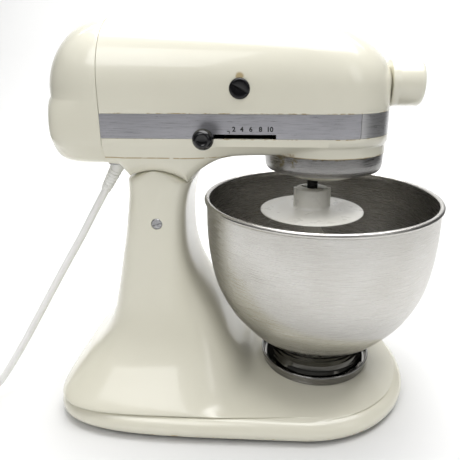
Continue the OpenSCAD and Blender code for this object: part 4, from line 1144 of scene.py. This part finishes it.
def make_numerals():
    """The speed scale's numerals and its start mark, printed on the band."""
    for text, x in NUMERALS.items():
        data = bpy.data.curves.new(f"numeral_{text}", "FONT")
        data.body = text
        data.size = NUMERAL_H * 1.38 * MM
        data.align_x, data.align_y = "CENTER", "CENTER"
        data.extrude = 0.02 * MM
        data.offset = 0.2 * MM
        letter = bpy.data.objects.new(f"numeral_{text}", data)
        SCENE.collection.objects.link(letter)
        letter.rotation_euler = (math.radians(90), 0, 0)
        letter.location = Vector(placed((x, -55.93, 265.1)))
        bpy.context.view_layer.update()
        graph = bpy.context.evaluated_depsgraph_get()
        mesh = bpy.data.meshes.new_from_object(letter.evaluated_get(graph))
        mesh.transform(letter.matrix_world)
        bpy.data.objects.remove(letter)
        flat = bpy.data.objects.new(f"scale_{text}", mesh)
        SCENE.collection.objects.link(flat)
        finish_print(flat)
    mark = joined(box((-83.6, -55.98, 263.4), (-81.4, -55.86, 264)),
                  box((-82.0, -55.98, 261.6), (-81.4, -55.86, 264)))
    finish_print(bare("scale_start_mark", mark))


def finish_print(obj):
    obj.data.materials.clear()
    obj.data.materials.append(PRINT_INK)
    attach(obj, "head")


make_stand()
make_feet()
make_hinge_pin()
make_clamp()
make_bowl()
make_bowl_foot()
make_upper()
make_lower()
make_cover()
make_cover_screw()
make_hub()
make_drip_ring()
make_planetary()
make_hook()
make_speed_knob()
make_brush_caps()
make_lock_lever()
make_thumb_screw()
make_numerals()


# ---------- floor, light ----------


def make_floor():
    """A pale floor that curves up into the backdrop."""
    profile = [(-6, 0), (2.2, 0)]
    profile += [(2.2 + 1.2 * math.sin(a), 1.2 - 1.2 * math.cos(a)) for a in np.radians(np.arange(5, 91, 5))]
    profile += [(3.4, 6)]
    rings = [[(x, y, z) for y, z in profile] for x in (-7, 7)]
    points, faces = loft(rings, ends="open", around=False)
    mesh = bpy.data.meshes.new("floor")
    mesh.from_pydata([tuple(p) for p in points], [], faces)
    mesh.shade_smooth()
    floor = bpy.data.objects.new("floor", mesh)
    SCENE.collection.objects.link(floor)
    look = Look("floor_paper", Roughness=0.75, Specular_IOR_Level=0.2)
    look.colour(look.mix(look.noise(3, detail=2), (0.72, 0.72, 0.715), (0.75, 0.75, 0.745)))
    mesh.materials.append(look.material)


def make_flag(name, x, depth, height):
    """A dark upright card beside the mixer, out of the view, that its metal mirrors."""
    mesh = bpy.data.meshes.new(name)
    corners = [(x, depth[0], 0.0), (x, depth[1], 0.0), (x, depth[1], height), (x, depth[0], height)]
    mesh.from_pydata(corners, [], [(0, 1, 2, 3)])
    card = bpy.data.objects.new(name, mesh)
    SCENE.collection.objects.link(card)
    look = Look(f"{name}_card", Roughness=0.8, Specular_IOR_Level=0.1)
    look.colour(look.mix(look.noise(2, detail=2), (0.05, 0.05, 0.05), (0.07, 0.07, 0.07)))
    mesh.materials.append(look.material)


def area_light(name, place, target, size, power):
    data = bpy.data.lights.new(name, "AREA")
    data.shape, data.size, data.size_y = "RECTANGLE", *size
    data.energy = power
    light = bpy.data.objects.new(name, data)
    SCENE.collection.objects.link(light)
    light.location = place
    light.rotation_euler = (Vector(target) - Vector(place)).to_track_quat("-Z", "Y").to_euler()


def make_light():
    world = bpy.data.worlds.new("studio")
    SCENE.world = world
    world.use_nodes = True
    tree = world.node_tree
    tree.nodes["Background"].inputs["Color"].default_value = (1.0, 1.0, 1.0, 1)
    split = tree.nodes.new("ShaderNodeSeparateXYZ")
    tree.links.new(tree.nodes.new("ShaderNodeTexCoord").outputs["Generated"], split.inputs[0])
    rise = tree.nodes.new("ShaderNodeMapRange")
    rise.interpolation_type = "SMOOTHSTEP"
    tree.links.new(split.outputs["Z"], rise.inputs[0])
    for socket, number in zip(rise.inputs[1:5], (0.0, 0.7, 0.10, 0.42)):
        socket.default_value = number
    tree.links.new(rise.outputs[0], tree.nodes["Background"].inputs["Strength"])
    area_light("top_box", (0.15, 0.15, 1.6), (0, 0, 0.2), (1.6, 1.3), 34)
    area_light("front_left", (-0.6, -1.15, 1.55), (0, 0, 0.2), (1.0, 0.9), 9)
    area_light("front_right", (1.2, -1.0, 0.9), (0.05, 0, 0.15), (0.4, 0.9), 1.6)
    area_light("backdrop_wash", (0, 1.3, 2.6), (0, 3.4, 1.0), (4.5, 0.6), 120)
    SCENE.view_settings.view_transform = "Standard"


make_floor()
make_flag("left_flag", -1.05, (-0.5, 0.7), 0.75)
make_flag("right_flag", 1.0, (-0.3, 0.9), 0.7)
make_light()
